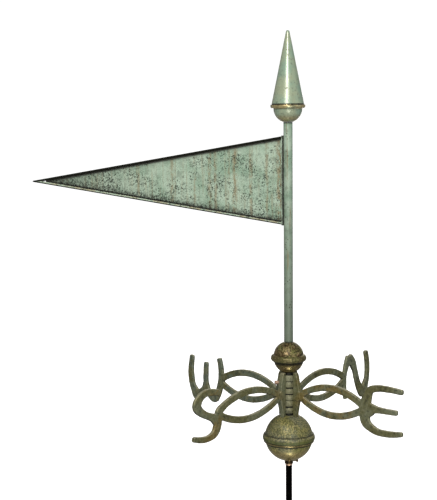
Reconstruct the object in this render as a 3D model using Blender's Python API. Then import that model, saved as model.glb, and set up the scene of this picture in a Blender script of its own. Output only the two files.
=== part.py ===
"""Weathervane: a copper banner that turns on a steel rod, over four lettered arms.

The rod stands on the origin with its lower end face down. From there up it carries a collar,
a large globe, two cast directionals with one sleeve above the other, and a small globe.
The vane turns above them: a tube over the rod, a finial on its top and a tapering banner.
North is +Y and east is +X. All sizes are in metres.
"""
import math

import bmesh
import bpy
from mathutils import Matrix, Vector

# Clearances and facets
GAP = 0.0003                  # between two pieces that touch
SIDES = 26                    # facets round a globe or a finial
TURNED_SIDES = 20             # facets round a rod, tube, ring or screw
STEP_ANGLE = math.radians(35.0)   # faces that meet at less than this are shaded smooth

# Steel rod and the collar that is clamped to it
ROD_RADIUS = 0.0079375
ROD_BELOW_COLLAR = 0.2422
ROD_TIP_CHAMFER = 0.003
COLLAR_RADIUS = 0.0107
COLLAR_BAND = 0.0085
COLLAR_LIP = 0.0042
COLLAR_LIP_RADIUS = 0.0091
COLLAR_CHAMFER = 0.0006
COLLAR_SCREW_REACH = 0.0244
COLLAR_SCREW_HEAD = 0.005
COLLAR_SCREW_HEAD_RADIUS = 0.0037
COLLAR_SCREW_RADIUS = 0.0016
COLLAR_SCREW_RAISE = 0.0020    # above the middle of the band

# Globes, each two spun halves with a rolled seam between them
LARGE_RADIUS = 0.0597
LARGE_BAND = 0.0004           # from the centre of one half to the centre of the other
LARGE_SEAM_PROUD = 0.0055
LARGE_SEAM_RISE = 0.0116
LARGE_RIM_DROP = 0.0017       # the widest line of the seam, below the upper half's centre
SMALL_RADIUS = 0.0373
SMALL_BAND = 0.0059
SMALL_SEAM_PROUD = 0.0070
SMALL_SEAM_RISE = 0.0083
SMALL_RIM_DROP = 0.0039
SEAM_FOLD = 0.12              # the seam tucks back under itself by this share of its height
SEAT_MARGIN = 0.0008          # a flat seat reaches this far past what rests on it
HALF_GLOBE_STEPS = 5

# A seam's outline from top to bottom: how far proud, and how high, as shares of its own size
LARGE_SEAM = ((0.45, 0.90), (0.85, 0.52), (1.0, 0.08), (0.93, -0.22),
              (0.55, -0.46), (0.62, -0.66), (0.42, -0.84))
SMALL_SEAM = ((0.45, 0.82), (0.88, 0.45), (1.0, 0.0), (0.92, -0.42), (0.60, -0.82))

# Hub: each casting has a sleeve on the rod, grooved into rings, and a fin for each of its arms
RING_RADIUS = 0.0177
RING_HEIGHT = 0.0160
RING_CHAMFER = 0.0010
NECK_RADIUS = 0.0145          # of each sleeve's end, between its rings and a globe
GROOVE_DEPTHS = (0.0010, 0.0028)   # below a sleeve's first and second ring
GROOVE_HALF = 0.0007
SLEEVE_RISE = 0.0018          # the sleeves meet this far above the arms' centre
FIN_THICKNESS = 0.0110
FIN_CHAMFER = 0.0012
FIN_BELOW = 0.0519            # from the arms' centre down to the large globe, at the fin's inside
FIN_ABOVE = 0.0566
# Outer edge of a fin from top to bottom: how far past the rings, and how high, as shares
FIN_SPREAD = 0.0190
FIN_EDGE = ((0.32, 1.0), (0.50, 0.945), (0.63, 0.80), (0.76, 0.59), (0.895, 0.36), (1.0, 0.14),
            (1.0, -0.09), (0.895, -0.27), (0.76, -0.45), (0.63, -0.68), (0.50, -0.89),
            (0.42, -1.0))
CRADLE_STEPS = 4              # cuts along the curve of a fin that sits on the large globe
HUB_SCREW_REACH = 0.0368
HUB_SCREW_HEAD_RADIUS = 0.0052
HUB_SCREW_RADIUS = 0.0030
HUB_SCREW_RAISE = 0.0030      # above the middle of the upper sleeve

# Arms: two bars that part and meet again, then a letter
BAR_THICKNESS = 0.0088
BAR_CHAMFER = 0.0024
THINNER = 0.0002              # each bar laid over another is this much thinner, face by face
LENS_START = 0.038
LENS_END = 0.2298
LENS_END_SOUTH = 0.2622
LENS_RISE = 0.0333
LENS_FULLNESS = (0.7625, 0.725)   # of the lower and of the upper bar
LENS_STEPS = 9
LENS_SHORT = 0.0029           # a bar ends this far before the bars would meet, in the letter
LENS_SHORT_WEST = 0.0077
LENS_SHORT_BOWL = 0.0269      # where the upper bar of the S turns into its lower bowl
BAR_WIDTH_HUB = 0.0152
BAR_WIDTH_OUT = 0.0168
BAR_WIDER = 0.0008            # added halfway along
LETTER_START = 0.220
LETTER_WIDTH = 0.1205
LETTER_HALF_HEIGHT = 0.0623
LETTER_STEP = 0.0120          # about this long between two cuts across a stroke

END_LENGTH = 0.22             # rounding of a stroke's end, as shares of its width there
END_WIDTH = 0.62

# Letters as centre lines: share of the width, share of the half height, bar width in metres
EAST_STROKES = (
    ((0.965, 0.858, 0.0125), (0.68, 0.882, 0.0145), (0.4, 0.852, 0.0162), (0.232, 0.74, 0.0184),
     (0.17, 0.508, 0.0227), (0.13, 0.278, 0.0279), (0.095, 0.0, 0.0275), (0.095, -0.292, 0.0284),
     (0.135, -0.547, 0.0251), (0.25, -0.706, 0.0198), (0.42, -0.819, 0.0164),
     (0.69, -0.815, 0.0152), (0.96, -0.735, 0.0117)),
    ((0.13, -0.01, 0.0450), (0.23, -0.005, 0.0340), (0.31, 0.03, 0.0225), (0.4, 0.028, 0.0157),
     (0.57, 0.03, 0.0136), (0.84, 0.04, 0.0121)),
)
NORTH_STROKES = (
    ((0.124, -0.84, 0.0125), (0.08, -0.414, 0.0130), (0.09, 0.142, 0.0135), (0.15, 0.52, 0.0192),
     (0.23, 0.821, 0.0230)),
    ((0.268, 0.779, 0.0290), (0.37, 0.597, 0.0245), (0.46, 0.262, 0.0171), (0.51, -0.032, 0.0171),
     (0.565, -0.319, 0.0173), (0.65, -0.598, 0.0230), (0.747, -0.836, 0.0257)),
    ((0.78, -0.8, 0.0260), (0.85, -0.497, 0.0220), (0.91, -0.218, 0.0160), (0.925, 0.15, 0.0155),
     (0.915, 0.515, 0.0150), (0.868, 0.92, 0.0128)),
)
WEST_STROKES = (
    ((0.107, 0.911, 0.0140), (0.065, 0.56, 0.0158), (0.06, 0.084, 0.0167),
     (0.105, -0.324, 0.0187), (0.168, -0.644, 0.0176), (0.25, -0.818, 0.0197),
     (0.37, -0.71, 0.0190), (0.47, -0.45, 0.0173), (0.515, -0.098, 0.0150), (0.51, 0.32, 0.0147),
     (0.5, 0.647, 0.0135)),
    ((0.925, 0.851, 0.0137), (0.96, 0.302, 0.0170), (0.957, 0.022, 0.0182),
     (0.925, -0.341, 0.0185), (0.865, -0.572, 0.0223), (0.76, -0.8, 0.0323),
     (0.638, -0.666, 0.0250), (0.555, -0.456, 0.0180), (0.523, -0.215, 0.0150)),
)
# The lower bowl of the S goes on from the upper bar of its arm
SOUTH_LOWER_BOWL = ((0.312, 0.036, 0.0209), (0.33, -0.278, 0.0212), (0.37, -0.54, 0.0232),
                    (0.445, -0.748, 0.0195), (0.595, -0.849, 0.0150), (0.79, -0.85, 0.0145),
                    (1.015, -0.75, 0.0123))
SOUTH_STROKES = (
    ((0.29, 0.714, 0.0126), (0.35, 0.797, 0.0150), (0.5, 0.854, 0.0165), (0.677, 0.876, 0.0171),
     (0.84, 0.738, 0.0207), (0.925, 0.482, 0.0266), (0.855, 0.265, 0.0210), (0.72, 0.085, 0.0173),
     (0.58, -0.04, 0.0172), (0.47, -0.135, 0.0202), (0.4, -0.28, 0.0217)),
)

# Vane: tube, finial and banner
TUBE_RADIUS = 0.0111
TUBE_WALL = 0.00165
TUBE_LENGTH = 0.5413
CUP_RADIUS = 0.0354
CUP_RIM_PROUD = 0.0073
CUP_RIM_RISE = 0.0091
# The cup's rolled rim from top to bottom, as shares of how far proud and how high it is
CUP_RIM = ((0.60, 1.0), (0.91, 0.85), (1.0, 0.62), (0.95, 0.31), (0.74, 0.03))
SPIRE_RADIUS = 0.0396
SPIRE_HEIGHT = 0.1771
SPIRE_TIP_RADIUS = 0.0046
SPIRE_TIP_SWEEP = math.radians(75.0)
SPIRE_TIP_STEPS = 3
SPIRE_BASE_ROUND = 0.0012
VANE_BEARING = math.radians(42.61)   # how far the vane has turned, with the banner from -X
BANNER_BELOW_TUBE_TOP = 0.0343
BANNER_HALF_HEIGHT = 0.1077
BANNER_SLOPE = 0.1752         # rise of an edge for each metre along the banner
BANNER_LIFT = 0.0062          # the banner points up by this much for each metre along it
BANNER_TIP = 0.623            # from the axis to the blunt tip
BANNER_RAIL_RADIUS = 0.0029
BANNER_GROOVE = 0.0032        # from a rail to the raised field of the panel
BANNER_WEB = 0.0024
BANNER_FIELD = 0.0080
BANNER_FIELD_CHAMFER = 0.0016
HOIST_RAIL_WIDTH = 0.0056      # from the tube to the banner
HOIST_RAIL_THICKNESS = 0.0060
HOIST_RAIL_OVER = 0.0020      # past the banner's corner at each end
RAIL_SIDES = 10

# Places worked out from the sizes above, from the rod's foot up
Z_COLLAR = ROD_BELOW_COLLAR
Z_COLLAR_BAND = Z_COLLAR + COLLAR_LIP
Z_COLLAR_TOP = Z_COLLAR_BAND + COLLAR_BAND
BORE = ROD_RADIUS + GAP


def drop(radius, across):
    """Height of a ball above its centre at a distance from its axis."""
    return math.sqrt(radius * radius - across * across)


LARGE_SEAT = COLLAR_RADIUS + SEAT_MARGIN
Z_LARGE_LOW = Z_COLLAR_TOP + GAP + drop(LARGE_RADIUS, LARGE_SEAT)
Z_LARGE_UP = Z_LARGE_LOW + LARGE_BAND
FIN_INSIDE = RING_RADIUS + GAP
Z_ARMS = Z_LARGE_UP + drop(LARGE_RADIUS + GAP, FIN_INSIDE) + FIN_BELOW
Z_FIN_TOP = Z_ARMS + FIN_ABOVE
Z_SMALL_LOW = Z_FIN_TOP + GAP + drop(SMALL_RADIUS, FIN_INSIDE)
Z_SMALL_UP = Z_SMALL_LOW + SMALL_BAND
SMALL_SEAT = TUBE_RADIUS + SEAT_MARGIN
Z_TUBE = Z_SMALL_UP + drop(SMALL_RADIUS, SMALL_SEAT) + GAP
Z_TUBE_TOP = Z_TUBE + TUBE_LENGTH
Z_CUP_FLAT = Z_TUBE_TOP + GAP
Z_CUP = Z_CUP_FLAT + drop(CUP_RADIUS, SMALL_SEAT)
Z_SPIRE = Z_CUP + CUP_RIM_RISE + GAP
Z_BANNER = Z_TUBE_TOP - BANNER_BELOW_TUBE_TOP - BANNER_HALF_HEIGHT

VERDIGRIS = ((0.30, 0.42, 0.32, 1.0), 0.62, 0.35)
MOSSY_BRASS = ((0.20, 0.21, 0.11, 1.0), 0.55, 0.5)
AGED_BRONZE = ((0.17, 0.13, 0.06, 1.0), 0.45, 0.6)
SAGE_COPPER = ((0.33, 0.38, 0.24, 1.0), 0.45, 0.6)
BLACK_STEEL = ((0.012, 0.012, 0.013, 1.0), 0.5, 0.4)
COPPER = ((0.45, 0.20, 0.09, 1.0), 0.3, 1.0)


def clear_scene():
    """Remove every object that is in the file."""
    for obj in list(bpy.data.objects):
        bpy.data.objects.remove(obj, do_unlink=True)


def material(name, look):
    """One Principled material: colour, roughness and metallic value."""
    colour, roughness, metallic = look
    made = bpy.data.materials.new(name)
    made.use_nodes = True
    shader = made.node_tree.nodes["Principled BSDF"]
    shader.inputs["Base Color"].default_value = colour
    shader.inputs["Roughness"].default_value = roughness
    shader.inputs["Metallic"].default_value = metallic
    return made


def add_object(name, bm, look=None):
    """Turn a bmesh into a named object with its own material."""
    bmesh.ops.remove_doubles(bm, verts=bm.verts, dist=1e-7)
    bmesh.ops.recalc_face_normals(bm, faces=bm.faces)
    mesh = bpy.data.meshes.new(name)
    bm.to_mesh(mesh)
    bm.free()
    obj = bpy.data.objects.new(name, mesh)
    bpy.context.collection.objects.link(obj)
    if look:
        mesh.materials.append(material(name, look))
        mesh.shade_smooth()
        mesh.set_sharp_from_angle(angle=STEP_ANGLE)
    return obj


def place(obj, turn):
    """Apply a matrix to an object's mesh."""
    obj.data.transform(turn)
    return obj


def lathe(profile, sides, closed):
    """Spin an outline of (radius, height) about Z; a closed one has a bore."""
    bm = bmesh.new()
    points = [bm.verts.new((radius, 0.0, height)) for radius, height in profile]
    ring = points + points[:1] if closed else points
    edges = [bm.edges.new(pair) for pair in zip(ring, ring[1:])]
    bmesh.ops.spin(bm, geom=points + edges, cent=(0, 0, 0), axis=(0, 0, 1),
                   angle=2.0 * math.pi, steps=sides, use_merge=True)
    return bm


def fuse(name, pieces, look):
    """Join overlapping solids into one with exact Boolean unions."""
    base = pieces[0]
    for piece in pieces[1:]:
        union = base.modifiers.new("union", "BOOLEAN")
        union.operation = "UNION"
        union.solver = "EXACT"
        union.object = piece
    graph = bpy.context.evaluated_depsgraph_get()
    joined = bpy.data.meshes.new_from_object(base.evaluated_get(graph))
    for piece in pieces:
        bpy.data.objects.remove(piece, do_unlink=True)
    bm = bmesh.new()
    bm.from_mesh(joined)
    bmesh.ops.dissolve_degenerate(bm, dist=1e-6, edges=bm.edges)
    bmesh.ops.triangulate(bm, faces=bm.faces)
    return add_object(name, bm, look)


def smooth_points(points, step):
    """Read a Catmull-Rom curve through points of (along, up, width) at about equal steps."""
    ends = [[2 * a - b for a, b in zip(points[0], points[1])],
            [2 * a - b for a, b in zip(points[-1], points[-2])]]
    track = [ends[0], *points, ends[1]]
    read = []
    for before, here, there, after in zip(track, track[1:], track[2:], track[3:]):
        length = math.dist(here[:2], there[:2])
        count = max(1, round(length / step))
        for index in range(count):
            t = index / count
            read.append([0.5 * (2 * b + (c - a) * t + (2 * a - 5 * b + 4 * c - d) * t * t
                                + (3 * b - a - 3 * c + d) * t ** 3)
                         for a, b, c, d in zip(before, here, there, after)])
    read.append(list(points[-1]))
    return read


def bar(points, thickness, chamfer):
    """A flat cast bar in the XZ plane along points of (x, z, width), with chamfered edges."""
    bm = bmesh.new()
    rings = []
    for index, (along, up, width) in enumerate(points):
        before = points[max(index - 1, 0)]
        after = points[min(index + 1, len(points) - 1)]
        ahead = Vector((after[0] - before[0], 0.0, after[1] - before[1])).normalized()
        side = Vector((-ahead.z, 0.0, ahead.x))
        centre = Vector((along, 0.0, up))
        half, flat, deep = width / 2, width / 2 - chamfer, thickness / 2
        section = ((half, chamfer - deep), (half, deep - chamfer), (flat, deep), (-flat, deep),
                   (-half, deep - chamfer), (-half, chamfer - deep), (-flat, -deep), (flat, -deep))
        rings.append([bm.verts.new(centre + side * across + Vector((0, level, 0)))
                      for across, level in section])
    for ring, following in zip(rings, rings[1:]):
        for index in range(len(ring)):
            turn = (index + 1) % len(ring)
            bm.faces.new((ring[index], ring[turn], following[turn], following[index]))
    bm.faces.new(rings[0])
    bm.faces.new(rings[-1])
    return bm


def rounded_ends(points):
    """Add a narrower, shorter cut at both ends of a stroke, so that it ends rounded."""
    def cap(end, inner):
        away = Vector((end[0] - inner[0], end[1] - inner[1])).normalized() * end[2] * END_LENGTH
        return [end[0] + away.x, end[1] + away.y, end[2] * END_WIDTH]
    return [cap(points[0], points[1]), *points, cap(points[-1], points[-2])]


def lens_point(share, end, side):
    """Centre of an arm's bar at a share of its length, on the upper or the lower side."""
    along = LENS_START + (end - LENS_START) * share
    bow = math.sin(math.pi * share)
    up = LENS_RISE * bow ** LENS_FULLNESS[side > 0] * side
    width = BAR_WIDTH_HUB + (BAR_WIDTH_OUT - BAR_WIDTH_HUB) * share + BAR_WIDER * bow
    return [along, up, width]


def lens_bar(end, side, short):
    """Points of one bar, from its root in the fin to a length before the bars' far meeting."""
    root = [FIN_INSIDE + FIN_SPREAD * (0.5 + 0.1 * side), 0.0, BAR_WIDTH_HUB]
    reach = 1.0 - short / (end - LENS_START)
    return [root] + [lens_point(reach * index / LENS_STEPS, end, side)
                     for index in range(LENS_STEPS + 1)]


def letter_points(stroke):
    """A letter's stroke in the arm's plane, from shares of the letter's box."""
    return [[LETTER_START + LETTER_WIDTH * along, LETTER_HALF_HEIGHT * up, width]
            for along, up, width in stroke]


def arm_pieces(strokes, end, short, lower_bowl, bearing):
    """The bars and letter of one arm, built along +X and turned to its bearing."""
    upper = lens_bar(end, 1, LENS_SHORT_BOWL if lower_bowl else short)
    if lower_bowl:
        tail = smooth_points([upper[-1], *letter_points(lower_bowl)], LETTER_STEP)
        upper = upper[:-1] + rounded_ends(tail)[1:]
    outlines = [upper, lens_bar(end, -1, short)]
    outlines += [rounded_ends(smooth_points(letter_points(stroke), LETTER_STEP))
                 for stroke in strokes]
    pieces = []
    for index, outline in enumerate(outlines):
        bm = bar(outline, BAR_THICKNESS - THINNER * index, BAR_CHAMFER)
        turn = Matrix.Translation((0, 0, Z_ARMS)) @ Matrix.Rotation(bearing, 4, "Z")
        pieces.append(place(add_object("bar", bm), turn))
    return pieces


def fin_outline():
    """Outline of a fin in the XZ plane, anticlockwise from its lower inside corner."""
    edge = []
    for out, up in FIN_EDGE:
        height = FIN_ABOVE * up if up > 0 else FIN_BELOW * up
        edge.append((FIN_INSIDE + FIN_SPREAD * out, Z_ARMS + height))
    foot = edge[-1][0]
    cradle = []
    for step in range(CRADLE_STEPS, -1, -1):
        across = FIN_INSIDE + (foot - FIN_INSIDE) * step / CRADLE_STEPS
        cradle.append((across, Z_LARGE_UP + drop(LARGE_RADIUS + GAP, across)))
    return [(FIN_INSIDE, Z_FIN_TOP)] + edge[:-1] + cradle


def fin(bearing):
    """One fin: a thick plate in the arm's plane that cradles both globes."""
    bm = bmesh.new()
    outline = [bm.verts.new((x, -FIN_THICKNESS / 2, z)) for x, z in fin_outline()]
    face = bm.faces.new(outline)
    moved = bmesh.ops.extrude_face_region(bm, geom=[face])["geom"]
    far = [item for item in moved if isinstance(item, bmesh.types.BMVert)]
    bmesh.ops.translate(bm, verts=far, vec=(0, FIN_THICKNESS, 0))
    bmesh.ops.recalc_face_normals(bm, faces=bm.faces)
    rim = [edge for edge in bm.edges if abs(edge.verts[0].co.y - edge.verts[1].co.y) < GAP
           and min(vert.co.x for vert in edge.verts) > FIN_INSIDE + GAP]
    bmesh.ops.bevel(bm, geom=rim, offset=FIN_CHAMFER, segments=1, affect="EDGES",
                    clamp_overlap=True)
    return place(add_object("fin", bm), Matrix.Rotation(bearing, 4, "Z"))


def sleeve_span(side):
    """Lowest and highest height of the upper (1) or the lower (-1) sleeve."""
    near = Z_ARMS + SLEEVE_RISE + side * GAP / 2
    far = near + side * RING_HEIGHT * (len(GROOVE_DEPTHS) + 1)
    return min(near, far), max(near, far)


def sleeve(side):
    """A sleeve on the rod: three rings with grooves between them, and a neck to its globe."""
    low, high = sleeve_span(side)
    top = Z_FIN_TOP if side > 0 else high
    bottom = low if side > 0 else Z_LARGE_UP + drop(LARGE_RADIUS, RING_RADIUS) + GAP
    outline = [(BORE, top)]
    if side > 0:
        outline += [(NECK_RADIUS, top), (NECK_RADIUS, high)]
    outline += [(RING_RADIUS - RING_CHAMFER, high), (RING_RADIUS, high - RING_CHAMFER)]
    for index, depth in enumerate(GROOVE_DEPTHS, 1):
        level = high - RING_HEIGHT * index
        outline += [(RING_RADIUS, level + GROOVE_HALF), (RING_RADIUS - depth, level),
                    (RING_RADIUS, level - GROOVE_HALF)]
    outline += [(RING_RADIUS, low + RING_CHAMFER), (RING_RADIUS - RING_CHAMFER, low)]
    if side < 0:
        outline += [(NECK_RADIUS, low), (NECK_RADIUS, bottom)]
    outline.append((BORE, bottom))
    return add_object("sleeve", lathe(outline, TURNED_SIDES, True))


def lug(side, bearing):
    """The block that joins a sleeve to one of its fins."""
    low, high = sleeve_span(side)
    inside, outside = (BORE + RING_RADIUS) / 2, FIN_INSIDE + FIN_SPREAD / 4
    bm = bmesh.new()
    size = Matrix.Diagonal((outside - inside, FIN_THICKNESS - FIN_CHAMFER * 2,
                            high - low - RING_CHAMFER * 2, 1.0))
    centre = Matrix.Translation(((inside + outside) / 2, 0, (low + high) / 2))
    bmesh.ops.create_cube(bm, size=1.0, matrix=Matrix.Rotation(bearing, 4, "Z") @ centre @ size)
    return add_object("lug", bm)


def directional(name, side, arms):
    """One casting: a sleeve, and a fin, a lug and a lettered arm on each side of it."""
    pieces = [sleeve(side)]
    for strokes, end, short, lower_bowl, bearing in arms:
        pieces += [fin(bearing), lug(side, bearing)]
        pieces += arm_pieces(strokes, end, short, lower_bowl, bearing)
    return fuse(name, pieces, MOSSY_BRASS)


def half_circle(radius, centre, seat, seam_height, side):
    """Points of half a ball's outline, from its flat seat to its seam."""
    first = math.acos(seat / radius)
    last = math.asin(side * (seam_height - centre) / radius)
    angles = [first + (last - first) * index / HALF_GLOBE_STEPS
              for index in range(HALF_GLOBE_STEPS + 1)]
    return [(radius * math.cos(a), centre + side * radius * math.sin(a)) for a in angles]


def globe(name, radius, centres, rim_drop, proud, rise, seam, seats, look):
    """A ball of two halves on the rod, with a rolled seam and a flat seat at each end."""
    low_centre, up_centre = centres
    low_seat, up_seat = seats
    rim = up_centre - rim_drop
    fold = rim + rise * (seam[-1][1] - SEAM_FOLD)
    outline = half_circle(radius, up_centre, up_seat, rim + rise, 1)
    outline += [(radius + proud * out, rim + rise * up) for out, up in seam]
    outline += reversed(half_circle(radius, low_centre, low_seat, fold, -1))
    outline = [(BORE, outline[0][1])] + outline + [(BORE, outline[-1][1])]
    add_object(name, lathe(outline, SIDES, True), look)


def steel_rod():
    """The rod, with a chamfered upper end that the finial turns on."""
    top = Z_CUP_FLAT - GAP
    outline = ((0.0, top), (ROD_RADIUS - ROD_TIP_CHAMFER, top),
               (ROD_RADIUS, top - ROD_TIP_CHAMFER), (ROD_RADIUS, 0.0), (0.0, 0.0))
    add_object("steel_rod", lathe(outline, TURNED_SIDES, False), BLACK_STEEL)


def screw(name, reach, head_length, head_radius, shank_radius, height, bearing, look):
    """A screw that points at the rod: a shank that stops just short of it, and a head."""
    tip, chamfer = BORE + GAP, head_radius / 4
    head = reach - head_length
    outline = ((0.0, reach), (head_radius - chamfer, reach), (head_radius, reach - chamfer),
               (head_radius, head), (shank_radius, head), (shank_radius, tip), (0.0, tip))
    bm = lathe(outline, TURNED_SIDES // 2, False)
    turn = (Matrix.Translation((0, 0, height)) @ Matrix.Rotation(bearing, 4, "Z")
            @ Matrix.Rotation(math.pi / 2, 4, "Y"))
    return place(add_object(name, bm, look), turn)


def cut(target, radius, height, bearing, reach):
    """Drill a radial hole of a screw's radius into a ring or a casting."""
    bm = lathe(((0.0, reach), (radius, reach), (radius, 0.0), (0.0, 0.0)), TURNED_SIDES // 2, False)
    turn = (Matrix.Translation((0, 0, height)) @ Matrix.Rotation(bearing, 4, "Z")
            @ Matrix.Rotation(math.pi / 2, 4, "Y"))
    drill = place(add_object(target.name + "_drill", bm), turn)
    drill.hide_render = True
    drill.display_type = "WIRE"
    hole = target.modifiers.new("hole", "BOOLEAN")
    hole.operation = "DIFFERENCE"
    hole.solver = "EXACT"
    hole.object = drill


def collar():
    """The collar under the large globe: a band, a brighter lip below it, and its screw."""
    low, step, top = Z_COLLAR, Z_COLLAR_BAND, Z_COLLAR_TOP
    chamfer = COLLAR_CHAMFER
    outline = ((BORE, top), (COLLAR_RADIUS - chamfer, top), (COLLAR_RADIUS, top - chamfer),
               (COLLAR_RADIUS, step), (COLLAR_LIP_RADIUS, step),
               (COLLAR_LIP_RADIUS, low + chamfer), (COLLAR_LIP_RADIUS - chamfer, low), (BORE, low))
    ring = add_object("rod_collar", lathe(outline, TURNED_SIDES, True), COPPER)
    height = (step + top) / 2 + COLLAR_SCREW_RAISE
    cut(ring, COLLAR_SCREW_RADIUS + GAP, height, VANE_BEARING, COLLAR_SCREW_REACH)
    screw("collar_screw", COLLAR_SCREW_REACH, COLLAR_SCREW_HEAD, COLLAR_SCREW_HEAD_RADIUS,
          COLLAR_SCREW_RADIUS, height, VANE_BEARING, AGED_BRONZE)


def directionals():
    """The two castings, one sleeve over the other, and the upper one's set screw."""
    quarter = math.pi / 2
    north_south = directional("directional_north_south", 1,
                              ((NORTH_STROKES, LENS_END, LENS_SHORT, None, quarter),
                               (SOUTH_STROKES, LENS_END_SOUTH, LENS_SHORT, SOUTH_LOWER_BOWL,
                                -quarter)))
    directional("directional_east_west", -1,
                ((EAST_STROKES, LENS_END, LENS_SHORT, None, 0.0),
                 (WEST_STROKES, LENS_END, LENS_SHORT_WEST, None, 2 * quarter)))
    low, high = sleeve_span(1)
    height = (low + high) / 2 + HUB_SCREW_RAISE
    bearing = 2.5 * quarter
    cut(north_south, HUB_SCREW_RADIUS + GAP, height, bearing, HUB_SCREW_REACH)
    head = HUB_SCREW_REACH - RING_RADIUS - GAP
    screw("hub_set_screw", HUB_SCREW_REACH, head, HUB_SCREW_HEAD_RADIUS, HUB_SCREW_RADIUS,
          height, bearing, COPPER)


def mast_tube():
    """The tube that turns on the rod and carries the banner and the finial."""
    outline = ((TUBE_RADIUS - TUBE_WALL, Z_TUBE_TOP), (TUBE_RADIUS, Z_TUBE_TOP),
               (TUBE_RADIUS, Z_TUBE), (TUBE_RADIUS - TUBE_WALL, Z_TUBE))
    add_object("mast_tube", lathe(outline, TURNED_SIDES, True), VERDIGRIS)


def finial():
    """A half ball cup with a rolled rim, and the spire that stands in it."""
    outline = [(0.0, Z_CUP + CUP_RIM_RISE)]
    outline += [(CUP_RADIUS + CUP_RIM_PROUD * out, Z_CUP + CUP_RIM_RISE * up)
                for out, up in CUP_RIM]
    outline += reversed(half_circle(CUP_RADIUS, Z_CUP, SMALL_SEAT, Z_CUP, -1))
    outline.append((0.0, Z_CUP_FLAT))
    add_object("finial_cup", lathe(outline, SIDES, False), SAGE_COPPER)
    top, base = Z_SPIRE + SPIRE_HEIGHT, Z_SPIRE
    tip = SPIRE_TIP_RADIUS
    angles = [SPIRE_TIP_SWEEP * step / SPIRE_TIP_STEPS for step in range(SPIRE_TIP_STEPS + 1)]
    outline = [(tip * math.sin(a), top - tip + tip * math.cos(a)) for a in angles]
    outline += [(SPIRE_RADIUS, base + SPIRE_BASE_ROUND), (SPIRE_RADIUS - SPIRE_BASE_ROUND, base),
                (0.0, base)]
    add_object("finial_spire", lathe(outline, SIDES, False), SAGE_COPPER)


def banner_turn(lift):
    """From the plane where the banner points to -X, to its bearing at rest, tip lifted."""
    slant = Matrix.Identity(4)
    slant[2][0] = -lift
    turn = Matrix.Rotation(VANE_BEARING, 4, "Z")
    return turn @ Matrix.Translation((0, 0, Z_BANNER)) @ slant


def hoist_inner():
    """Distance from the axis to the side of the hoist rail that faces the banner."""
    return TUBE_RADIUS + HOIST_RAIL_WIDTH


def banner_plate(inset, hoist_gap, thickness, chamfer):
    """A tapering plate, set in from the banner's outer edges, with its tip cut blunt."""
    hoist = hoist_inner() + GAP + hoist_gap
    lean = math.hypot(1.0, BANNER_SLOPE)
    apex = hoist_inner() + BANNER_HALF_HEIGHT / BANNER_SLOPE - inset * lean / BANNER_SLOPE
    blunt = thickness / 2
    tip = apex - blunt / BANNER_SLOPE
    tall = (apex - hoist) * BANNER_SLOPE
    bm = bmesh.new()
    corners = ((-hoist, tall), (-tip, blunt), (-tip, -blunt), (-hoist, -tall))
    face = bm.faces.new([bm.verts.new((x, -thickness / 2, z)) for x, z in corners])
    moved = bmesh.ops.extrude_face_region(bm, geom=[face])["geom"]
    far = [item for item in moved if isinstance(item, bmesh.types.BMVert)]
    bmesh.ops.translate(bm, verts=far, vec=(0, thickness, 0))
    bmesh.ops.recalc_face_normals(bm, faces=bm.faces)
    if chamfer:
        rim = [edge for edge in bm.edges if abs(edge.verts[0].co.y - edge.verts[1].co.y) < GAP]
        bmesh.ops.bevel(bm, geom=rim, offset=chamfer, segments=1, affect="EDGES")
    return add_object("plate", bm)


def edge_rail(name, side):
    """The round rail along the banner's upper or lower edge, mitred at the tip."""
    lean = math.hypot(1.0, BANNER_SLOPE)
    inset = BANNER_RAIL_RADIUS * lean
    start, tip = hoist_inner() + GAP, BANNER_TIP
    apex = hoist_inner() + (BANNER_HALF_HEIGHT - inset) / BANNER_SLOPE
    ahead = Vector((-1.0, 0.0, -side * BANNER_SLOPE)).normalized()
    overrun = BANNER_RAIL_RADIUS * 2
    first = Vector((-start + overrun, 0.0, side * (apex - start + overrun) * BANNER_SLOPE))
    length = (tip - start + 2 * overrun) * lean
    bm = bmesh.new()
    turn = (Matrix.Translation(first + ahead * length / 2)
            @ Vector((0, 0, 1)).rotation_difference(ahead).to_matrix().to_4x4())
    bmesh.ops.create_cone(bm, cap_ends=True, segments=RAIL_SIDES, radius1=BANNER_RAIL_RADIUS,
                          radius2=BANNER_RAIL_RADIUS, depth=length, matrix=turn)
    cuts = (((-start, 0, 0), (1, 0, 0)), ((-tip, 0, 0), (-1, 0, 0)),
            ((0, 0, side * GAP / 2), (0, 0, -side)))
    for point, away in cuts:
        split = bmesh.ops.bisect_plane(bm, geom=bm.verts[:] + bm.edges[:] + bm.faces[:],
                                       plane_co=point, plane_no=away, clear_outer=True)
        rim = [item for item in split["geom_cut"] if isinstance(item, bmesh.types.BMEdge)]
        bmesh.ops.edgeloop_fill(bm, edges=rim)
    place(add_object(name, bm, VERDIGRIS), banner_turn(BANNER_LIFT))


def hoist_rail():
    """The flat rail close beside the tube."""
    near, far = TUBE_RADIUS + GAP, hoist_inner()
    top = BANNER_HALF_HEIGHT + HOIST_RAIL_OVER
    bm = bmesh.new()
    size = Matrix.Diagonal((far - near, HOIST_RAIL_THICKNESS, 2 * top, 1.0))
    centre = Matrix.Translation((-(near + far) / 2, 0, 0))
    bmesh.ops.create_cube(bm, size=1.0, matrix=centre @ size)
    place(add_object("banner_hoist_rail", bm, VERDIGRIS), banner_turn(0.0))


def banner():
    """The panel, a raised field on a thin web, and the three rails round it."""
    inset = 2 * BANNER_RAIL_RADIUS + GAP
    web = banner_plate(inset, 0.0, BANNER_WEB, 0.0)
    field = banner_plate(inset + BANNER_GROOVE, BANNER_GROOVE, BANNER_FIELD,
                         BANNER_FIELD_CHAMFER)
    place(fuse("banner_panel", [field, web], VERDIGRIS), banner_turn(BANNER_LIFT))
    edge_rail("banner_top_rail", 1)
    edge_rail("banner_bottom_rail", -1)
    hoist_rail()


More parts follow.
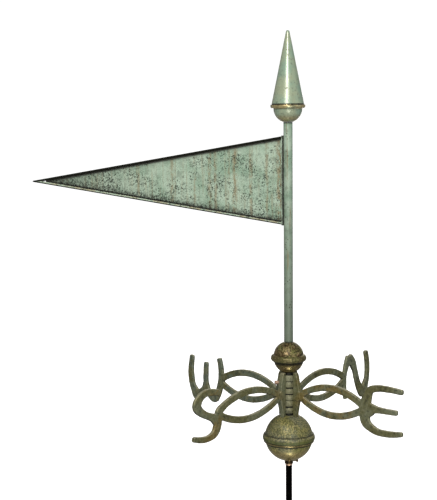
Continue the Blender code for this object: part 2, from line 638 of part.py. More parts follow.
def main():
    """Build every piece in its place."""
    clear_scene()
    steel_rod()
    collar()
    globe("large_globe", LARGE_RADIUS, (Z_LARGE_LOW, Z_LARGE_UP), LARGE_RIM_DROP,
          LARGE_SEAM_PROUD, LARGE_SEAM_RISE, LARGE_SEAM, (LARGE_SEAT, RING_RADIUS), MOSSY_BRASS)
    directionals()
    globe("small_globe", SMALL_RADIUS, (Z_SMALL_LOW, Z_SMALL_UP), SMALL_RIM_DROP,
          SMALL_SEAM_PROUD, SMALL_SEAM_RISE, SMALL_SEAM, (RING_RADIUS, SMALL_SEAT), AGED_BRONZE)
    mast_tube()
    finial()
    banner()


main()
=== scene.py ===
"""Weathervane: an aged copper banner vane over two globes and lettered arms.

Every visible piece is modelled here round the packed frame, in the frame's own metres, and given
its patina. North is +Y and east is +X. The camera and the soft studio light follow the photograph.
"""

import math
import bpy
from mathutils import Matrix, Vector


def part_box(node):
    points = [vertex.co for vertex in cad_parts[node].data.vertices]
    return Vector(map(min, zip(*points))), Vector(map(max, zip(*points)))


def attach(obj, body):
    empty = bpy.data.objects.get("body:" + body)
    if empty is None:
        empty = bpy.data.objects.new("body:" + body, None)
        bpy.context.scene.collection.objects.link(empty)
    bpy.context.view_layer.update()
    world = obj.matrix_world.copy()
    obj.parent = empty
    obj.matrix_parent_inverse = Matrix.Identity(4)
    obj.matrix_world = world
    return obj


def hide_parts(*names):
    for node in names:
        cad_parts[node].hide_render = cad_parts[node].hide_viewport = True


bl_info = {
    "name": "Weathervane",
    "version": (1, 0, 0),
    "blender": (4, 5, 0),
    "location": "View3D > Sidebar > Weathervane",
    "description": "Builds the weathervane's pieces, finishes and studio",
    "category": "Add Mesh",
}

import bpy
from mathutils import Matrix, Vector

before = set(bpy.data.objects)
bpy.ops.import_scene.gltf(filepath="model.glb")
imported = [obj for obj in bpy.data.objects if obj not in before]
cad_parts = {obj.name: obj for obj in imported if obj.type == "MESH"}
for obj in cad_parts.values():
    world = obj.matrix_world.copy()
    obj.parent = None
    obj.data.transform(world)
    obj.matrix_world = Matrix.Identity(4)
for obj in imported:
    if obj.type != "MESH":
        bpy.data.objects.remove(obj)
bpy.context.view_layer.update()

# Places and sizes that the frame gives
ROD_LOW, ROD_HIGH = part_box("steel_rod")
COLLAR_LOW, COLLAR_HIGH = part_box("rod_collar")
LARGE_LOW, LARGE_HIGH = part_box("large_globe")
SMALL_LOW, SMALL_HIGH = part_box("small_globe")
TUBE_LOW, TUBE_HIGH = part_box("mast_tube")
CUP_LOW, CUP_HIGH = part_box("finial_cup")
SPIRE_LOW, SPIRE_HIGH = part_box("finial_spire")
HOIST_LOW, HOIST_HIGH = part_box("banner_hoist_rail")
SCREW_LOW, SCREW_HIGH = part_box("hub_set_screw")
CLAMP_LOW, CLAMP_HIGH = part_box("collar_screw")
BANNER_HEIGHT = (HOIST_LOW.z + HOIST_HIGH.z) / 2
ROD_RADIUS = ROD_HIGH.x
TUBE_RADIUS = TUBE_HIGH.x

# Sizes of the small forms, and how finely they are cut
ARMS_HEIGHT = 0.42332
GAP = 0.0003
SLIVER = 0.00002                  # between the banner's pieces, too thin to see through
BORE = ROD_RADIUS + GAP
SEAT_MARGIN = 0.0008              # a globe or cup seats this much wider than the tube or collar
SLEEVE_RADIUS = 0.0177
COLLAR_LIP = 0.0042               # height of the collar's narrow lip
COLLAR_LIP_RADIUS = 0.0091
ROD_TIP = 0.0030                  # rounding of the rod's upper end
TUBE_WALL = 0.00165
THUMB_RADIUS = 0.0037
THUMB_LENGTH = 0.0050
THUMB_SHANK = 0.0016
SET_RADIUS = 0.0052
SET_SHANK = 0.0030
GROOVES = (0.0012, 0.0030)        # depths of a sleeve's upper and lower groove
RING_ROUND = 0.0013
LUG_DEPTH = 0.010
LUG_BACK = 0.002                  # how far a lug's middle is inside the fin's inner edge
LUG_SHORT = 0.002                 # how much shorter a lug is than its sleeve
LUG_INSIDE = 0.0004               # how far a lug stays inside each face of its fin
FIELD_STRIP = 0.015               # spacing of the cuts along the banner's field
FIELD_ROW = 0.0138                # and of those over its height
FIELD_STRIPS = 40
FIELD_ROWS = 8                    # on each side of the middle
FIELD_EDGE = 0.0017
HOIST_EDGE = 0.0006
SEAM_STEP = 0.0008                # spacing of the points on a seam or the cup's rim
LETTER_STEP = 0.005               # on a letter's stroke
FIN_STEP = 0.004                  # and on a fin's edge
ROD_SIDES = 64                    # facets round the rod, its collar and the tube
SLEEVE_SIDES = 72
SCREW_SIDES = 32
QUARTER = math.pi / 2
WARM_LIGHT = (1.0, 0.965, 0.90)
FULL_TURN = 2 * math.pi
MERGE = 1e-6

# Seams from top to bottom: how far proud and how high, as shares of the seam's own size
LARGE_SEAM = ((0.0, 1.10), (0.45, 0.90), (0.80, 0.60), (0.97, 0.28), (1.0, 0.05), (0.93, -0.22),
              (0.62, -0.40), (0.50, -0.50), (0.60, -0.60), (0.58, -0.72), (0.30, -0.88))
SMALL_SEAM = ((0.0, 1.04), (0.44, 0.86), (0.88, 0.45), (1.0, 0.0), (0.93, -0.42), (0.62, -0.80),
              (0.25, -0.98))
CUP_RIM = ((0.30, 1.0), (0.70, 1.0), (0.93, 0.86), (1.0, 0.60), (0.94, 0.30), (0.76, 0.04),
           (0.20, 0.0))

# Letters as centre lines: share of the width, share of the half height, bar width in metres
EAST_STROKES = (
    ((0.965, 0.858, 0.0125), (0.68, 0.882, 0.0145), (0.4, 0.852, 0.0162), (0.232, 0.74, 0.0184),
     (0.17, 0.508, 0.0227), (0.13, 0.278, 0.0279), (0.095, 0.0, 0.0275), (0.095, -0.292, 0.0284),
     (0.135, -0.547, 0.0251), (0.25, -0.706, 0.0198), (0.42, -0.819, 0.0164),
     (0.69, -0.815, 0.0152), (0.96, -0.735, 0.0117)),
    ((0.13, -0.01, 0.0450), (0.23, -0.005, 0.0340), (0.31, 0.03, 0.0225), (0.4, 0.028, 0.0157),
     (0.57, 0.03, 0.0136), (0.84, 0.04, 0.0121)),
)
NORTH_STROKES = (
    ((0.124, -0.84, 0.0125), (0.08, -0.414, 0.0130), (0.09, 0.142, 0.0135), (0.15, 0.52, 0.0192),
     (0.23, 0.821, 0.0230)),
    ((0.268, 0.779, 0.0290), (0.37, 0.597, 0.0245), (0.46, 0.262, 0.0171), (0.51, -0.032, 0.0171),
     (0.565, -0.319, 0.0173), (0.65, -0.598, 0.0230), (0.747, -0.836, 0.0257)),
    ((0.78, -0.8, 0.0260), (0.85, -0.497, 0.0220), (0.91, -0.218, 0.0160), (0.925, 0.15, 0.0155),
     (0.915, 0.515, 0.0150), (0.868, 0.92, 0.0128)),
)
WEST_STROKES = (
    ((0.107, 0.911, 0.0140), (0.065, 0.56, 0.0158), (0.06, 0.084, 0.0167),
     (0.105, -0.324, 0.0187), (0.168, -0.644, 0.0176), (0.25, -0.818, 0.0197),
     (0.37, -0.71, 0.0190), (0.47, -0.45, 0.0173), (0.515, -0.098, 0.0150), (0.51, 0.32, 0.0147),
     (0.5, 0.647, 0.0135)),
    ((0.925, 0.851, 0.0137), (0.96, 0.302, 0.0170), (0.957, 0.022, 0.0182),
     (0.925, -0.341, 0.0185), (0.865, -0.572, 0.0223), (0.76, -0.8, 0.0323),
     (0.638, -0.666, 0.0250), (0.555, -0.456, 0.0180), (0.523, -0.215, 0.0150)),
)
SOUTH_LOWER_BOWL = ((0.312, 0.036, 0.0209), (0.33, -0.278, 0.0212), (0.37, -0.54, 0.0232),
                    (0.445, -0.748, 0.0195), (0.595, -0.849, 0.0150), (0.79, -0.85, 0.0145),
                    (1.015, -0.75, 0.0123))
SOUTH_STROKES = (
    ((0.29, 0.714, 0.0126), (0.35, 0.797, 0.0150), (0.5, 0.854, 0.0165), (0.677, 0.876, 0.0171),
     (0.84, 0.738, 0.0207), (0.925, 0.482, 0.0266), (0.855, 0.265, 0.0210), (0.72, 0.085, 0.0173),
     (0.58, -0.04, 0.0172), (0.47, -0.135, 0.0202), (0.4, -0.28, 0.0217)),
)
FIN_EDGE = ((0.32, 1.0), (0.50, 0.945), (0.63, 0.80), (0.76, 0.59), (0.895, 0.36), (1.0, 0.14),
            (1.0, -0.09), (0.895, -0.27), (0.76, -0.45), (0.63, -0.68), (0.50, -0.89),
            (0.42, -1.0))
# Brown runs down the banner: distance from the axis, half width and strength
BANNER_RUNS = ((0.022, 0.012, 0.75), (0.052, 0.005, 0.55), (0.091, 0.006, 0.60),
               (0.130, 0.009, 0.70), (0.146, 0.004, 0.45), (0.178, 0.006, 0.60),
               (0.192, 0.007, 0.65), (0.228, 0.005, 0.50), (0.283, 0.006, 0.55),
               (0.366, 0.005, 0.50))
# Each arm: its letter, where its bars would meet, how far short of that they end, its bearing
ARMS = {
    "north": (NORTH_STROKES, None, 0.2298, 0.0029, QUARTER),
    "south": (SOUTH_STROKES, SOUTH_LOWER_BOWL, 0.2622, 0.0029, -QUARTER),
    "east": (EAST_STROKES, None, 0.2298, 0.0029, 0.0),
    "west": (WEST_STROKES, None, 0.2298, 0.0077, 2 * QUARTER),
}
BOWL_SHORT = 0.0269               # where the upper bar of the S turns into its lower bowl
# A stroke's end beyond its last point: how far and how wide, as shares of its width
STROKE_END = ((0.13, 0.88), (0.22, 0.62))
# Slits of the hub, painted dark as shade: rings above the split between the sleeves, and half
# width
SHADED_SLITS = ((2, 0.0007), (1, 0.0020), (0, 0.0018), (-1, 0.0007), (-2, 0.0022))
# Where each casting is worn or grey: direction, from, to, strength and colour
WORN_NORTH_SOUTH = (((0, -1), 0.245, 0.310, 0.60, "cast_ochre"),
                    ((0, -1), 0.03, 0.08, 0.50, "cast_ochre"))
WORN_EAST_WEST = (((1, 0), 0.03, 0.20, 0.65, "cast_ochre"),
                  ((-1, 0), 0.06, 0.40, 0.90, "verdigris_grey"))
# The photograph's camera, and the lights placed right, ahead and up as it sees the object
CAMERA_PLACE = (1.8782, -2.2929, 1.1154)
CAMERA_SHIFT = (-0.0012, 0.0011)
AIM = (0.0, 0.0, 0.65)
LIGHTS = (("key", (-0.5, -2.4, 2.7), 1.5, WARM_LIGHT), ("low", (0.1, -2.2, 0.15), 0.9, WARM_LIGHT),
          ("spark", (-0.45, -2.2, 2.4), 0.12, (1.0, 0.84, 0.74)),
          ("side", (2.3, -1.0, 1.3), 1.0, WARM_LIGHT),
          ("foot", (0.01, -0.17, 0.02), 0.10, WARM_LIGHT),
          ("back", (0.4, 2.6, 1.0), 1.4, WARM_LIGHT))
BACKDROP = 1.05                   # strength of the white behind the object


def length_property(name, description, default):
    """A length that a user may change."""
    return bpy.props.FloatProperty(name=name, description=description, default=default, min=0.0,
                                   unit="LENGTH", precision=4)


def colour_property(name, description, default):
    """A colour that a user may change."""
    return bpy.props.FloatVectorProperty(name=name, description=description, default=default,
                                         size=3, min=0.0, max=1.0, subtype="COLOR")


class MastSizes(bpy.types.PropertyGroup):
    """Sizes of the rod, tube and globes."""
    turned_sides: bpy.props.IntProperty(name="Turned sides", default=96, min=24,
                                        description="Facets round a turned piece",
                                        subtype="UNSIGNED")
    large_radius: length_property("Large globe", "Radius of the large globe's halves", 0.0597)
    large_proud: length_property("Large seam", "How far the large seam stands out", 0.0055)
    large_rise: length_property("Large seam height", "Half the large seam's height", 0.0116)
    large_rim_drop: length_property("Large rim drop", "Seam's widest line under the half", 0.0017)
    small_radius: length_property("Small globe", "Radius of the small globe's halves", 0.0373)
    small_proud: length_property("Small seam", "How far the small seam stands out", 0.0070)
    small_rise: length_property("Small seam height", "Half the small seam's height", 0.0083)
    small_rim_drop: length_property("Small rim drop", "Seam's widest line under the half", 0.0039)
    cup_radius: length_property("Finial cup", "Radius of the cup's bowl", 0.0354)
    cup_proud: length_property("Cup rim", "How far the cup's rim stands out", 0.0073)
    cup_rise: length_property("Cup rim height", "Height of the cup's rim", 0.0091)
    spire_tip: length_property("Spire tip", "Radius of the spire's rounded tip", 0.0046)


class ArmSizes(bpy.types.PropertyGroup):
    """Sizes of the castings with the compass letters."""
    height: length_property("Arms' height", "From the rod's foot to the arms", ARMS_HEIGHT)
    thickness: length_property("Thickness", "Thickness of a cast bar", 0.0089)
    corner: length_property("Corner", "Rounding of a cast bar's corners", 0.0020)
    lens_start: length_property("Bars' start", "From the axis to where the bars part", 0.038)
    lens_rise: length_property("Bars' rise", "How far each bar bows out", 0.0333)
    fullness_up: bpy.props.FloatProperty(name="Upper bow", default=0.725, subtype="FACTOR",
                                         description="Fullness of the upper bar's bow")
    fullness_low: bpy.props.FloatProperty(name="Lower bow", default=0.7625, subtype="FACTOR",
                                          description="Fullness of the lower bar's bow")
    width_hub: length_property("Width at the hub", "Width of a bar at the hub", 0.0152)
    width_out: length_property("Width at the letter", "Width of a bar at the letter", 0.0168)
    letter_start: length_property("Letter's start", "From the axis to the letter", 0.220)
    wider: length_property("Wider", "Width added to a bar halfway along", 0.0008)
    cast_over: length_property("Cast over", "Width that the smoothing takes off", 0.0004)
    letter_width: length_property("Letter's width", "Width of a letter", 0.1205)
    letter_half: length_property("Letter's half height", "Half the height of a letter", 0.0623)
    fin_spread: length_property("Fin", "Width of a fin past the sleeve", 0.0190)
    fin_thickness: length_property("Fin thickness", "Thickness of a fin", 0.0112)
    fin_above: length_property("Fin above", "Fin's height over the arms", 0.0566)
    fin_below: length_property("Fin below", "Fin's depth under the arms", 0.0519)
    ring: length_property("Ring", "Height of a ring of the hub's sleeves", 0.0160)
    neck: length_property("Neck", "Radius of a sleeve between its rings and a globe", 0.0145)
    sleeve_rise: length_property("Sleeves meet", "Height of the split over the arms", 0.0018)
    grain: length_property("Grain", "Size of the mesh that the casting is fused from", 0.0011)


class BannerSizes(bpy.types.PropertyGroup):
    """Sizes of the banner."""
    bearing: bpy.props.FloatProperty(name="Bearing", default=math.radians(42.61), unit="ROTATION",
                                     description="Turn of the vane from pointing west")
    half_height: length_property("Half height", "Half the height at the hoist", 0.1077)
    slope: bpy.props.FloatProperty(name="Slope", default=0.1752, subtype="FACTOR",
                                   description="Rise of an edge for each metre along")
    lift: bpy.props.FloatProperty(name="Lift", default=0.0062, subtype="FACTOR",
                                  description="How much the banner points up along its length")
    tip: length_property("Tip", "From the axis to the blunt tip", 0.623)
    rail: length_property("Rail", "Radius of the rails along the edges", 0.0029)
    groove: length_property("Groove", "From a rail to the raised field", 0.0032)
    field: length_property("Field", "Thickness of the raised field", 0.0080)
    web: length_property("Web", "Thickness between the field and a rail", 0.0024)
    hoist_width: length_property("Hoist rail", "From the tube to the banner", 0.0056)
    hoist_thickness: length_property("Hoist thickness", "Thickness of the hoist rail", 0.0060)
    hoist_over: length_property("Hoist over", "Hoist rail past the banner's corners", 0.0020)


class Finishes(bpy.types.PropertyGroup):
    """Colours of the patina and the metals."""
    verdigris: colour_property("Verdigris", "Pale green of the banner and tube",
                               (0.300, 0.455, 0.345))
    verdigris_light: colour_property("Light verdigris", "Chalky bloom", (0.450, 0.600, 0.485))
    verdigris_grey: colour_property("Grey verdigris", "Weathered grey", (0.160, 0.205, 0.155))
    ochre: colour_property("Ochre", "Brown runs on the banner", (0.260, 0.190, 0.085))
    # Black of real dirt, also laid as painted shade in creases, gaps and grooves and on faces that
    # look down
    soot_and_shade: colour_property("Soot", "Black dirt in the creases", (0.010, 0.012, 0.008))
    sage: colour_property("Sage", "Patina of the finial", (0.400, 0.480, 0.330))
    olive: colour_property("Olive", "Patina of the large globe", (0.228, 0.238, 0.074))
    olive_green: colour_property("Seam green", "Greener patina on its seam",
                                 (0.100, 0.130, 0.030))
    # Bared brass, also laid in part as painted reflection on the globes' undersides
    brass: colour_property("Brass", "Bared brass", (0.720, 0.560, 0.240))
    bronze: colour_property("Bronze", "Mottled patina of the small globe", (0.130, 0.088, 0.032))
    bronze_dark: colour_property("Dark bronze", "Dark specks of it", (0.040, 0.028, 0.014))
    bronze_light: colour_property("Light bronze", "Pale specks of it", (0.450, 0.350, 0.190))
    cast_olive: colour_property("Cast olive", "Patina of the arms", (0.165, 0.165, 0.068))
    cast_grey: colour_property("Cast grey", "Greyer patina of the arms", (0.220, 0.245, 0.155))
    cast_ochre: colour_property("Cast ochre", "Worn ochre of the arms", (0.270, 0.185, 0.042))
    # Rubbed metal, also laid as painted light on the arms' faces that look up
    cast_bright_and_lit: colour_property("Cast bright", "Rubbed edges of the arms", (0.430, 0.425, 0.290))
    steel: colour_property("Steel", "Black rod", (0.0010, 0.0008, 0.0009))
    copper: colour_property("Copper", "Bare copper of the collar's lip", (0.930, 0.640, 0.440))
    screw: colour_property("Screw", "Worn brass of the set screw", (0.400, 0.280, 0.210))


class StageSettings(bpy.types.PropertyGroup):
    """The studio: camera, floor and lights."""
    lens: bpy.props.FloatProperty(name="Lens", default=87.3, unit="CAMERA",
                                  description="Focal length on a 36 mm sensor")
    tilt: bpy.props.FloatProperty(name="Tilt", default=math.radians(6.40), unit="ROTATION",
                                  description="How far the camera looks down")
    roll: bpy.props.FloatProperty(name="Roll", default=math.radians(-0.52), unit="ROTATION",
                                  description="Turn of the camera about its own axis")
    floor: colour_property("Floor", "Plain pale floor", (0.90, 0.90, 0.90))
    key: bpy.props.FloatProperty(name="Key light", default=44.0, unit="POWER",
                                 description="Large soft light above the camera")
    low: bpy.props.FloatProperty(name="Low light", default=13.0, unit="POWER",
                                 description="Soft light under the camera")
    spark: bpy.props.FloatProperty(name="Spark", default=17.0, unit="POWER",
                                   description="Small light above the camera")
    side: bpy.props.FloatProperty(name="Side light", default=5.0, unit="POWER",
                                  description="Soft light from the right")
    foot: bpy.props.FloatProperty(name="Foot light", default=0.22, unit="POWER",
                                  description="Small light near the floor")
    back: bpy.props.FloatProperty(name="Back light", default=14.0, unit="POWER",
                                  description="Soft light on the far side")
    room: bpy.props.FloatProperty(name="Room", default=0.22, subtype="FACTOR",
                                  description="Strength of the light all round")


def settings(name):
    """One of the groups of sizes, colours or stage settings."""
    return getattr(bpy.context.scene, "weathervane_" + name)


# Modelling by hand: a primitive, shaped in edit mode and finished with modifiers

def begin(kind, name, **sizes):
    """Add a primitive with nothing else selected, and open it in edit mode."""
    bpy.ops.object.select_all(action="DESELECT")
    getattr(bpy.ops.mesh, f"primitive_{kind}_add")(**sizes)
    piece = bpy.context.object
    piece.name = name
    bpy.ops.object.mode_set(mode="EDIT")
    bpy.ops.mesh.select_all(action="SELECT")
    return piece


def end(piece, angle=math.radians(35)):
    """Merge, turn the faces outwards, leave edit mode and shade the piece."""
    bpy.ops.mesh.select_all(action="SELECT")
    bpy.ops.mesh.remove_doubles(threshold=MERGE)
    bpy.ops.mesh.normals_make_consistent(inside=False)
    bpy.ops.object.mode_set(mode="OBJECT")
    bpy.ops.object.shade_smooth_by_angle(angle=angle)
    return piece


def turn(angle, axis, centre=(0.0, 0.0, 0.0)):
    """Turn what is selected by the right-hand rule; with no window the operator turns back."""
    bpy.ops.transform.rotate(value=-angle, orient_axis=axis, center_override=centre)


def choose(piece):
    """Select one object alone."""
    bpy.ops.object.select_all(action="DESELECT")
    piece.select_set(True)
    bpy.context.view_layer.objects.active = piece


def modify(piece, kind, **values):
    """Add a modifier with these values and apply it."""
    choose(piece)
    modifier = piece.modifiers.new(kind.lower(), kind)
    for name, value in values.items():
        setattr(modifier, name, value)
    bpy.ops.object.modifier_apply(modifier=modifier.name)
    return piece


def join(name, pieces):
    """Join objects into one."""
    bpy.ops.object.select_all(action="DESELECT")
    for piece in pieces:
        piece.select_set(True)
    bpy.context.view_layer.objects.active = pieces[0]
    bpy.ops.object.join()
    pieces[0].name = name
    return pieces[0]


def line(name, points):
    """A chain of edges: a plane merged to one corner and then extruded."""
    piece = begin("plane", name, size=GAP)
    bpy.ops.mesh.merge(type="CENTER")
    bpy.ops.transform.translate(value=points[0])
    for here, there in zip(points, points[1:]):
        bpy.ops.mesh.extrude_region_move(TRANSFORM_OT_translate={"value": there - here})
    bpy.ops.mesh.select_all(action="SELECT")
    return piece


def turned(name, outline, sides=None, bored=True):
    """Turn an outline of (radius, height) points about the rod's axis."""
    points = [Vector((radius, 0.0, height)) for radius, height in outline]
    if bored:
        points.append(points[0])
    piece = line(name, points)
    bpy.ops.mesh.spin(steps=sides or settings("mast").turned_sides, angle=FULL_TURN,
                      center=(0, 0, 0), axis=(0, 0, 1))
    return end(piece)


def plate(name, outline, thickness, bevel=0.0, segments=2):
    """A plate in the XZ plane, its outline filled, extruded and bevelled on both faces."""
    points = [Vector((x, -thickness / 2, z)) for x, z in outline]
    piece = line(name, points + points[:1])
    bpy.ops.mesh.remove_doubles(threshold=MERGE)
    bpy.ops.mesh.edge_face_add()
    bpy.ops.mesh.extrude_region_move(TRANSFORM_OT_translate={"value": (0, thickness, 0)})
    end(piece)
    if bevel:
        modify(piece, "BEVEL", width=bevel, segments=segments, limit_method="ANGLE",
               angle_limit=math.radians(50))
    return piece


def sliced(piece, cuts):
    """Cut a piece into strips by planes of (point, normal), so that it can be dented."""
    choose(piece)
    bpy.ops.object.mode_set(mode="EDIT")
    for point, normal in cuts:
        bpy.ops.mesh.select_all(action="SELECT")
        bpy.ops.mesh.bisect(plane_co=point, plane_no=normal)
    return end(piece)


def dented(piece, size, strength, seed=0.0):
    """Push the surface in and out by a soft cloud pattern, as hand work and weather leave it."""
    clouds = bpy.data.textures.new(piece.name + "_dents", "CLOUDS")
    clouds.noise_scale = size
    clouds.noise_depth = 1
    carrier = bpy.data.objects.new(piece.name + "_dents", None)
    bpy.context.collection.objects.link(carrier)
    carrier.location = (seed, seed, seed)
    modify(piece, "DISPLACE", texture=clouds, strength=strength, mid_level=0.5,
           texture_coords="OBJECT", texture_coords_object=carrier)
    bpy.data.objects.remove(carrier)
    return piece


def moved(piece, matrix):
    """Place a finished piece by turning its whole mesh."""
    choose(piece)
    piece.matrix_world = matrix
    bpy.ops.object.transform_apply(location=True, rotation=True, scale=True)
    return piece


def smooth_line(points, step):
    """Read a Catmull-Rom curve through points at about equal steps of their first two values."""
    first = [2 * a - b for a, b in zip(points[0], points[1])]
    last = [2 * a - b for a, b in zip(points[-1], points[-2])]
    track = [first, *points, last]
    read = []
    for before, here, there, after in zip(track, track[1:], track[2:], track[3:]):
        count = max(1, round(math.dist(here[:2], there[:2]) / step))
        for index in range(count):
            t = index / count
            read.append([0.5 * (2 * b + (c - a) * t + (2 * a - 5 * b + 4 * c - d) * t * t
                                + (3 * b - a - 3 * c + d) * t ** 3)
                         for a, b, c, d in zip(before, here, there, after)])
    return read + [list(points[-1])]


def drop(radius, across):
    """Height of a ball above its centre at a distance from its axis."""
    return math.sqrt(radius * radius - across * across)


def arc(radius, centre, first, last, steps=24):
    """Points of (radius, height) on a ball, between two angles above its middle."""
    angles = [first + (last - first) * index / steps for index in range(steps + 1)]
    return [(radius * math.cos(a), centre + radius * math.sin(a)) for a in angles]


# Materials

class Wire:
    """A number in a material; arithmetic on it adds Math nodes."""

    def __init__(self, paint, socket):
        self.paint = paint
        self.socket = socket

    def _math(self, operation, first, second):
        made = self.paint.node("ShaderNodeMath", {"operation": operation}, {0: first, 1: second})
        return made["Value"]

    def __add__(self, other):
        return self._math("ADD", self, other)

    def __sub__(self, other):
        return self._math("SUBTRACT", self, other)

    def __rsub__(self, other):
        return self._math("SUBTRACT", other, self)

    def __mul__(self, other):
        return self._math("MULTIPLY", self, other)

    def __pow__(self, other):
        return self._math("POWER", self, other)

    __radd__ = __add__
    __rmul__ = __mul__

    def most(self, other):
        """The larger of two numbers."""
        return self._math("MAXIMUM", self, other)

    def least(self, other):
        """The smaller of two numbers."""
        return self._math("MINIMUM", self, other)

    def size(self):
        """The number without its sign."""
        return self._math("ABSOLUTE", self, 0.0)

    def between(self, low, high):
        """0 at the low value, 1 at the high one, smooth and clamped in between."""
        made = self.paint.node("ShaderNodeMapRange", {"interpolation_type": "SMOOTHSTEP"},
                               {"Value": self, "From Min": low, "From Max": high})
        return made["Result"]

    def below(self, low, high):
        """1 at the low value, 0 at the high one."""
        return 1.0 - self.between(low, high)

    def near(self, level, inner, outer):
        """1 within the inner distance of a level, 0 past the outer one."""
        return (self - level).size().below(inner, outer)


class Paint:
    """A material on Object coordinates, built up from nodes."""

    def __init__(self, name):
        self.material = bpy.data.materials.new(name)
        self.material.use_nodes = True
        self.tree = self.material.node_tree
        self.shader = self.tree.nodes["Principled BSDF"]
        self.place = self.node("ShaderNodeTexCoord")["Object"]
        self.tone = None

    def node(self, kind, choices=None, values=None):
        """Add a node: its settings first, then the values or links of its sockets."""
        made = self.tree.nodes.new(kind)
        for name, value in (choices or {}).items():
            setattr(made, name, value)
        for key, value in (values or {}).items():
            self.feed(made.inputs[key], value)
        return {out.name: Wire(self, out) for out in reversed(made.outputs) if out.enabled}

    def feed(self, socket, value):
        """Link a wire to a socket, or set the socket's own value."""
        if isinstance(value, Wire):
            self.tree.links.new(value.socket, socket)
        elif isinstance(value, tuple) and len(value) == 3 and len(socket.default_value) == 4:
            socket.default_value = (*value, 1.0)
        else:
            socket.default_value = value

    def stretched(self, scale, turned_by=0.0):
        """The place, turned about the upright axis and then scaled along its own axes."""
        straight = self.node("ShaderNodeMapping", None,
                             {"Vector": self.place, "Rotation": (0.0, 0.0, -turned_by)})["Vector"]
        return self.node("ShaderNodeMapping", None, {"Vector": straight, "Scale": scale})["Vector"]

    def noise(self, scale, detail=4.0, roughness=0.55, distortion=0.0, place=None):
        """Cloudy noise, about 0.5 in its middle."""
        made = self.node("ShaderNodeTexNoise", {"noise_dimensions": "3D"},
                         {"Vector": place or self.place, "Scale": scale, "Detail": detail,
                          "Roughness": roughness, "Distortion": distortion})
        return made["Fac"]

    def specks(self, scale):
        """Distance to the nearest of many scattered points."""
        made = self.node("ShaderNodeTexVoronoi", {"feature": "F1"},
                         {"Vector": self.place, "Scale": scale, "Randomness": 1.0})
        return made["Distance"]

    def axes(self, place=None):
        """The three values of the place."""
        made = self.node("ShaderNodeSeparateXYZ", None, {"Vector": place or self.place})
        return made["X"], made["Y"], made["Z"]

    def edges(self):
        """High on the outer edges of a finely meshed piece and low in its creases."""
        return self.node("ShaderNodeNewGeometry")["Pointiness"]

    def upward(self):
        """1 where the surface faces up, -1 where it faces down."""
        facing = self.node("ShaderNodeNewGeometry")["Normal"]
        return self.axes(facing)[2]

    def blend(self, factor, first, second):
        """Mix two colours."""
        made = self.tree.nodes.new("ShaderNodeMix")
        made.data_type = "RGBA"
        self.feed(made.inputs[0], factor)
        self.feed(made.inputs[6], first)
        self.feed(made.inputs[7], second)
        return Wire(self, made.outputs[2])

    def start(self, factor, first, second):
        """Begin the tone as a mix of two finish colours."""
        self.tone = self.blend(factor, colour(first), colour(second))

    def over(self, factor, shade):
        """Lay a finish colour over the tone."""
        self.tone = self.blend(factor, self.tone, colour(shade))

    def bump(self, height, distance, strength):
        """Turn a height into a normal."""
        return self.node("ShaderNodeBump", None, {"Height": height, "Distance": distance,
                                                  "Strength": strength})["Normal"]

    def finish(self, roughness, metallic=0.0, **sockets):
        """Feed the shader's sockets; an underscore in a name stands for a space."""
        sockets.update(Base_Color=self.tone, Roughness=roughness, Metallic=metallic)
        for name, value in sockets.items():
            self.feed(self.shader.inputs[name.replace("_", " ")], value)
        return self.material


def colour(name):
    """One of the finish colours."""
    return tuple(getattr(settings("finishes"), name))


def verdigris_tube():
    """Pale green patina of the tube, greyer towards its foot, with specks and ochre runs."""
    paint = Paint("verdigris_tube")
    _, _, height = paint.axes()
    cloud = paint.noise(28.0, 5.0)
    paint.start(cloud.between(0.38, 0.62), "verdigris", "verdigris_light")
    paint.over(height.below(TUBE_LOW.z - 0.08, TUBE_HIGH.z - 0.02) * 0.95, "verdigris_grey")
    paint.over(paint.noise(70.0, 5.0, 0.65).between(0.50, 0.62) * 0.45, "verdigris_grey")
    runs = paint.noise(1.0, 3.0, 0.5, 0.2, paint.stretched((150.0, 150.0, 7.0)))
    paint.over(runs.between(0.57, 0.68) * 0.55, "ochre")
    dark = paint.specks(170.0).below(0.14, 0.36) * paint.noise(45.0, 2.0).between(0.50, 0.60)
    paint.over(dark * 0.8, "soot_and_shade")
    foot = height.below(TUBE_LOW.z, TUBE_LOW.z + 0.005)
    head = height.between(TUBE_HIGH.z - 0.006, TUBE_HIGH.z - 0.001)
    paint.over((foot + head) * 0.8, "soot_and_shade")
    fine = paint.noise(420.0, 3.0)
    normal = paint.bump(fine * 0.4 + cloud * 0.8 - dark, 0.0005, 0.6)
    return paint.finish(cloud * 0.25 + 0.36, 0.15, Normal=normal)


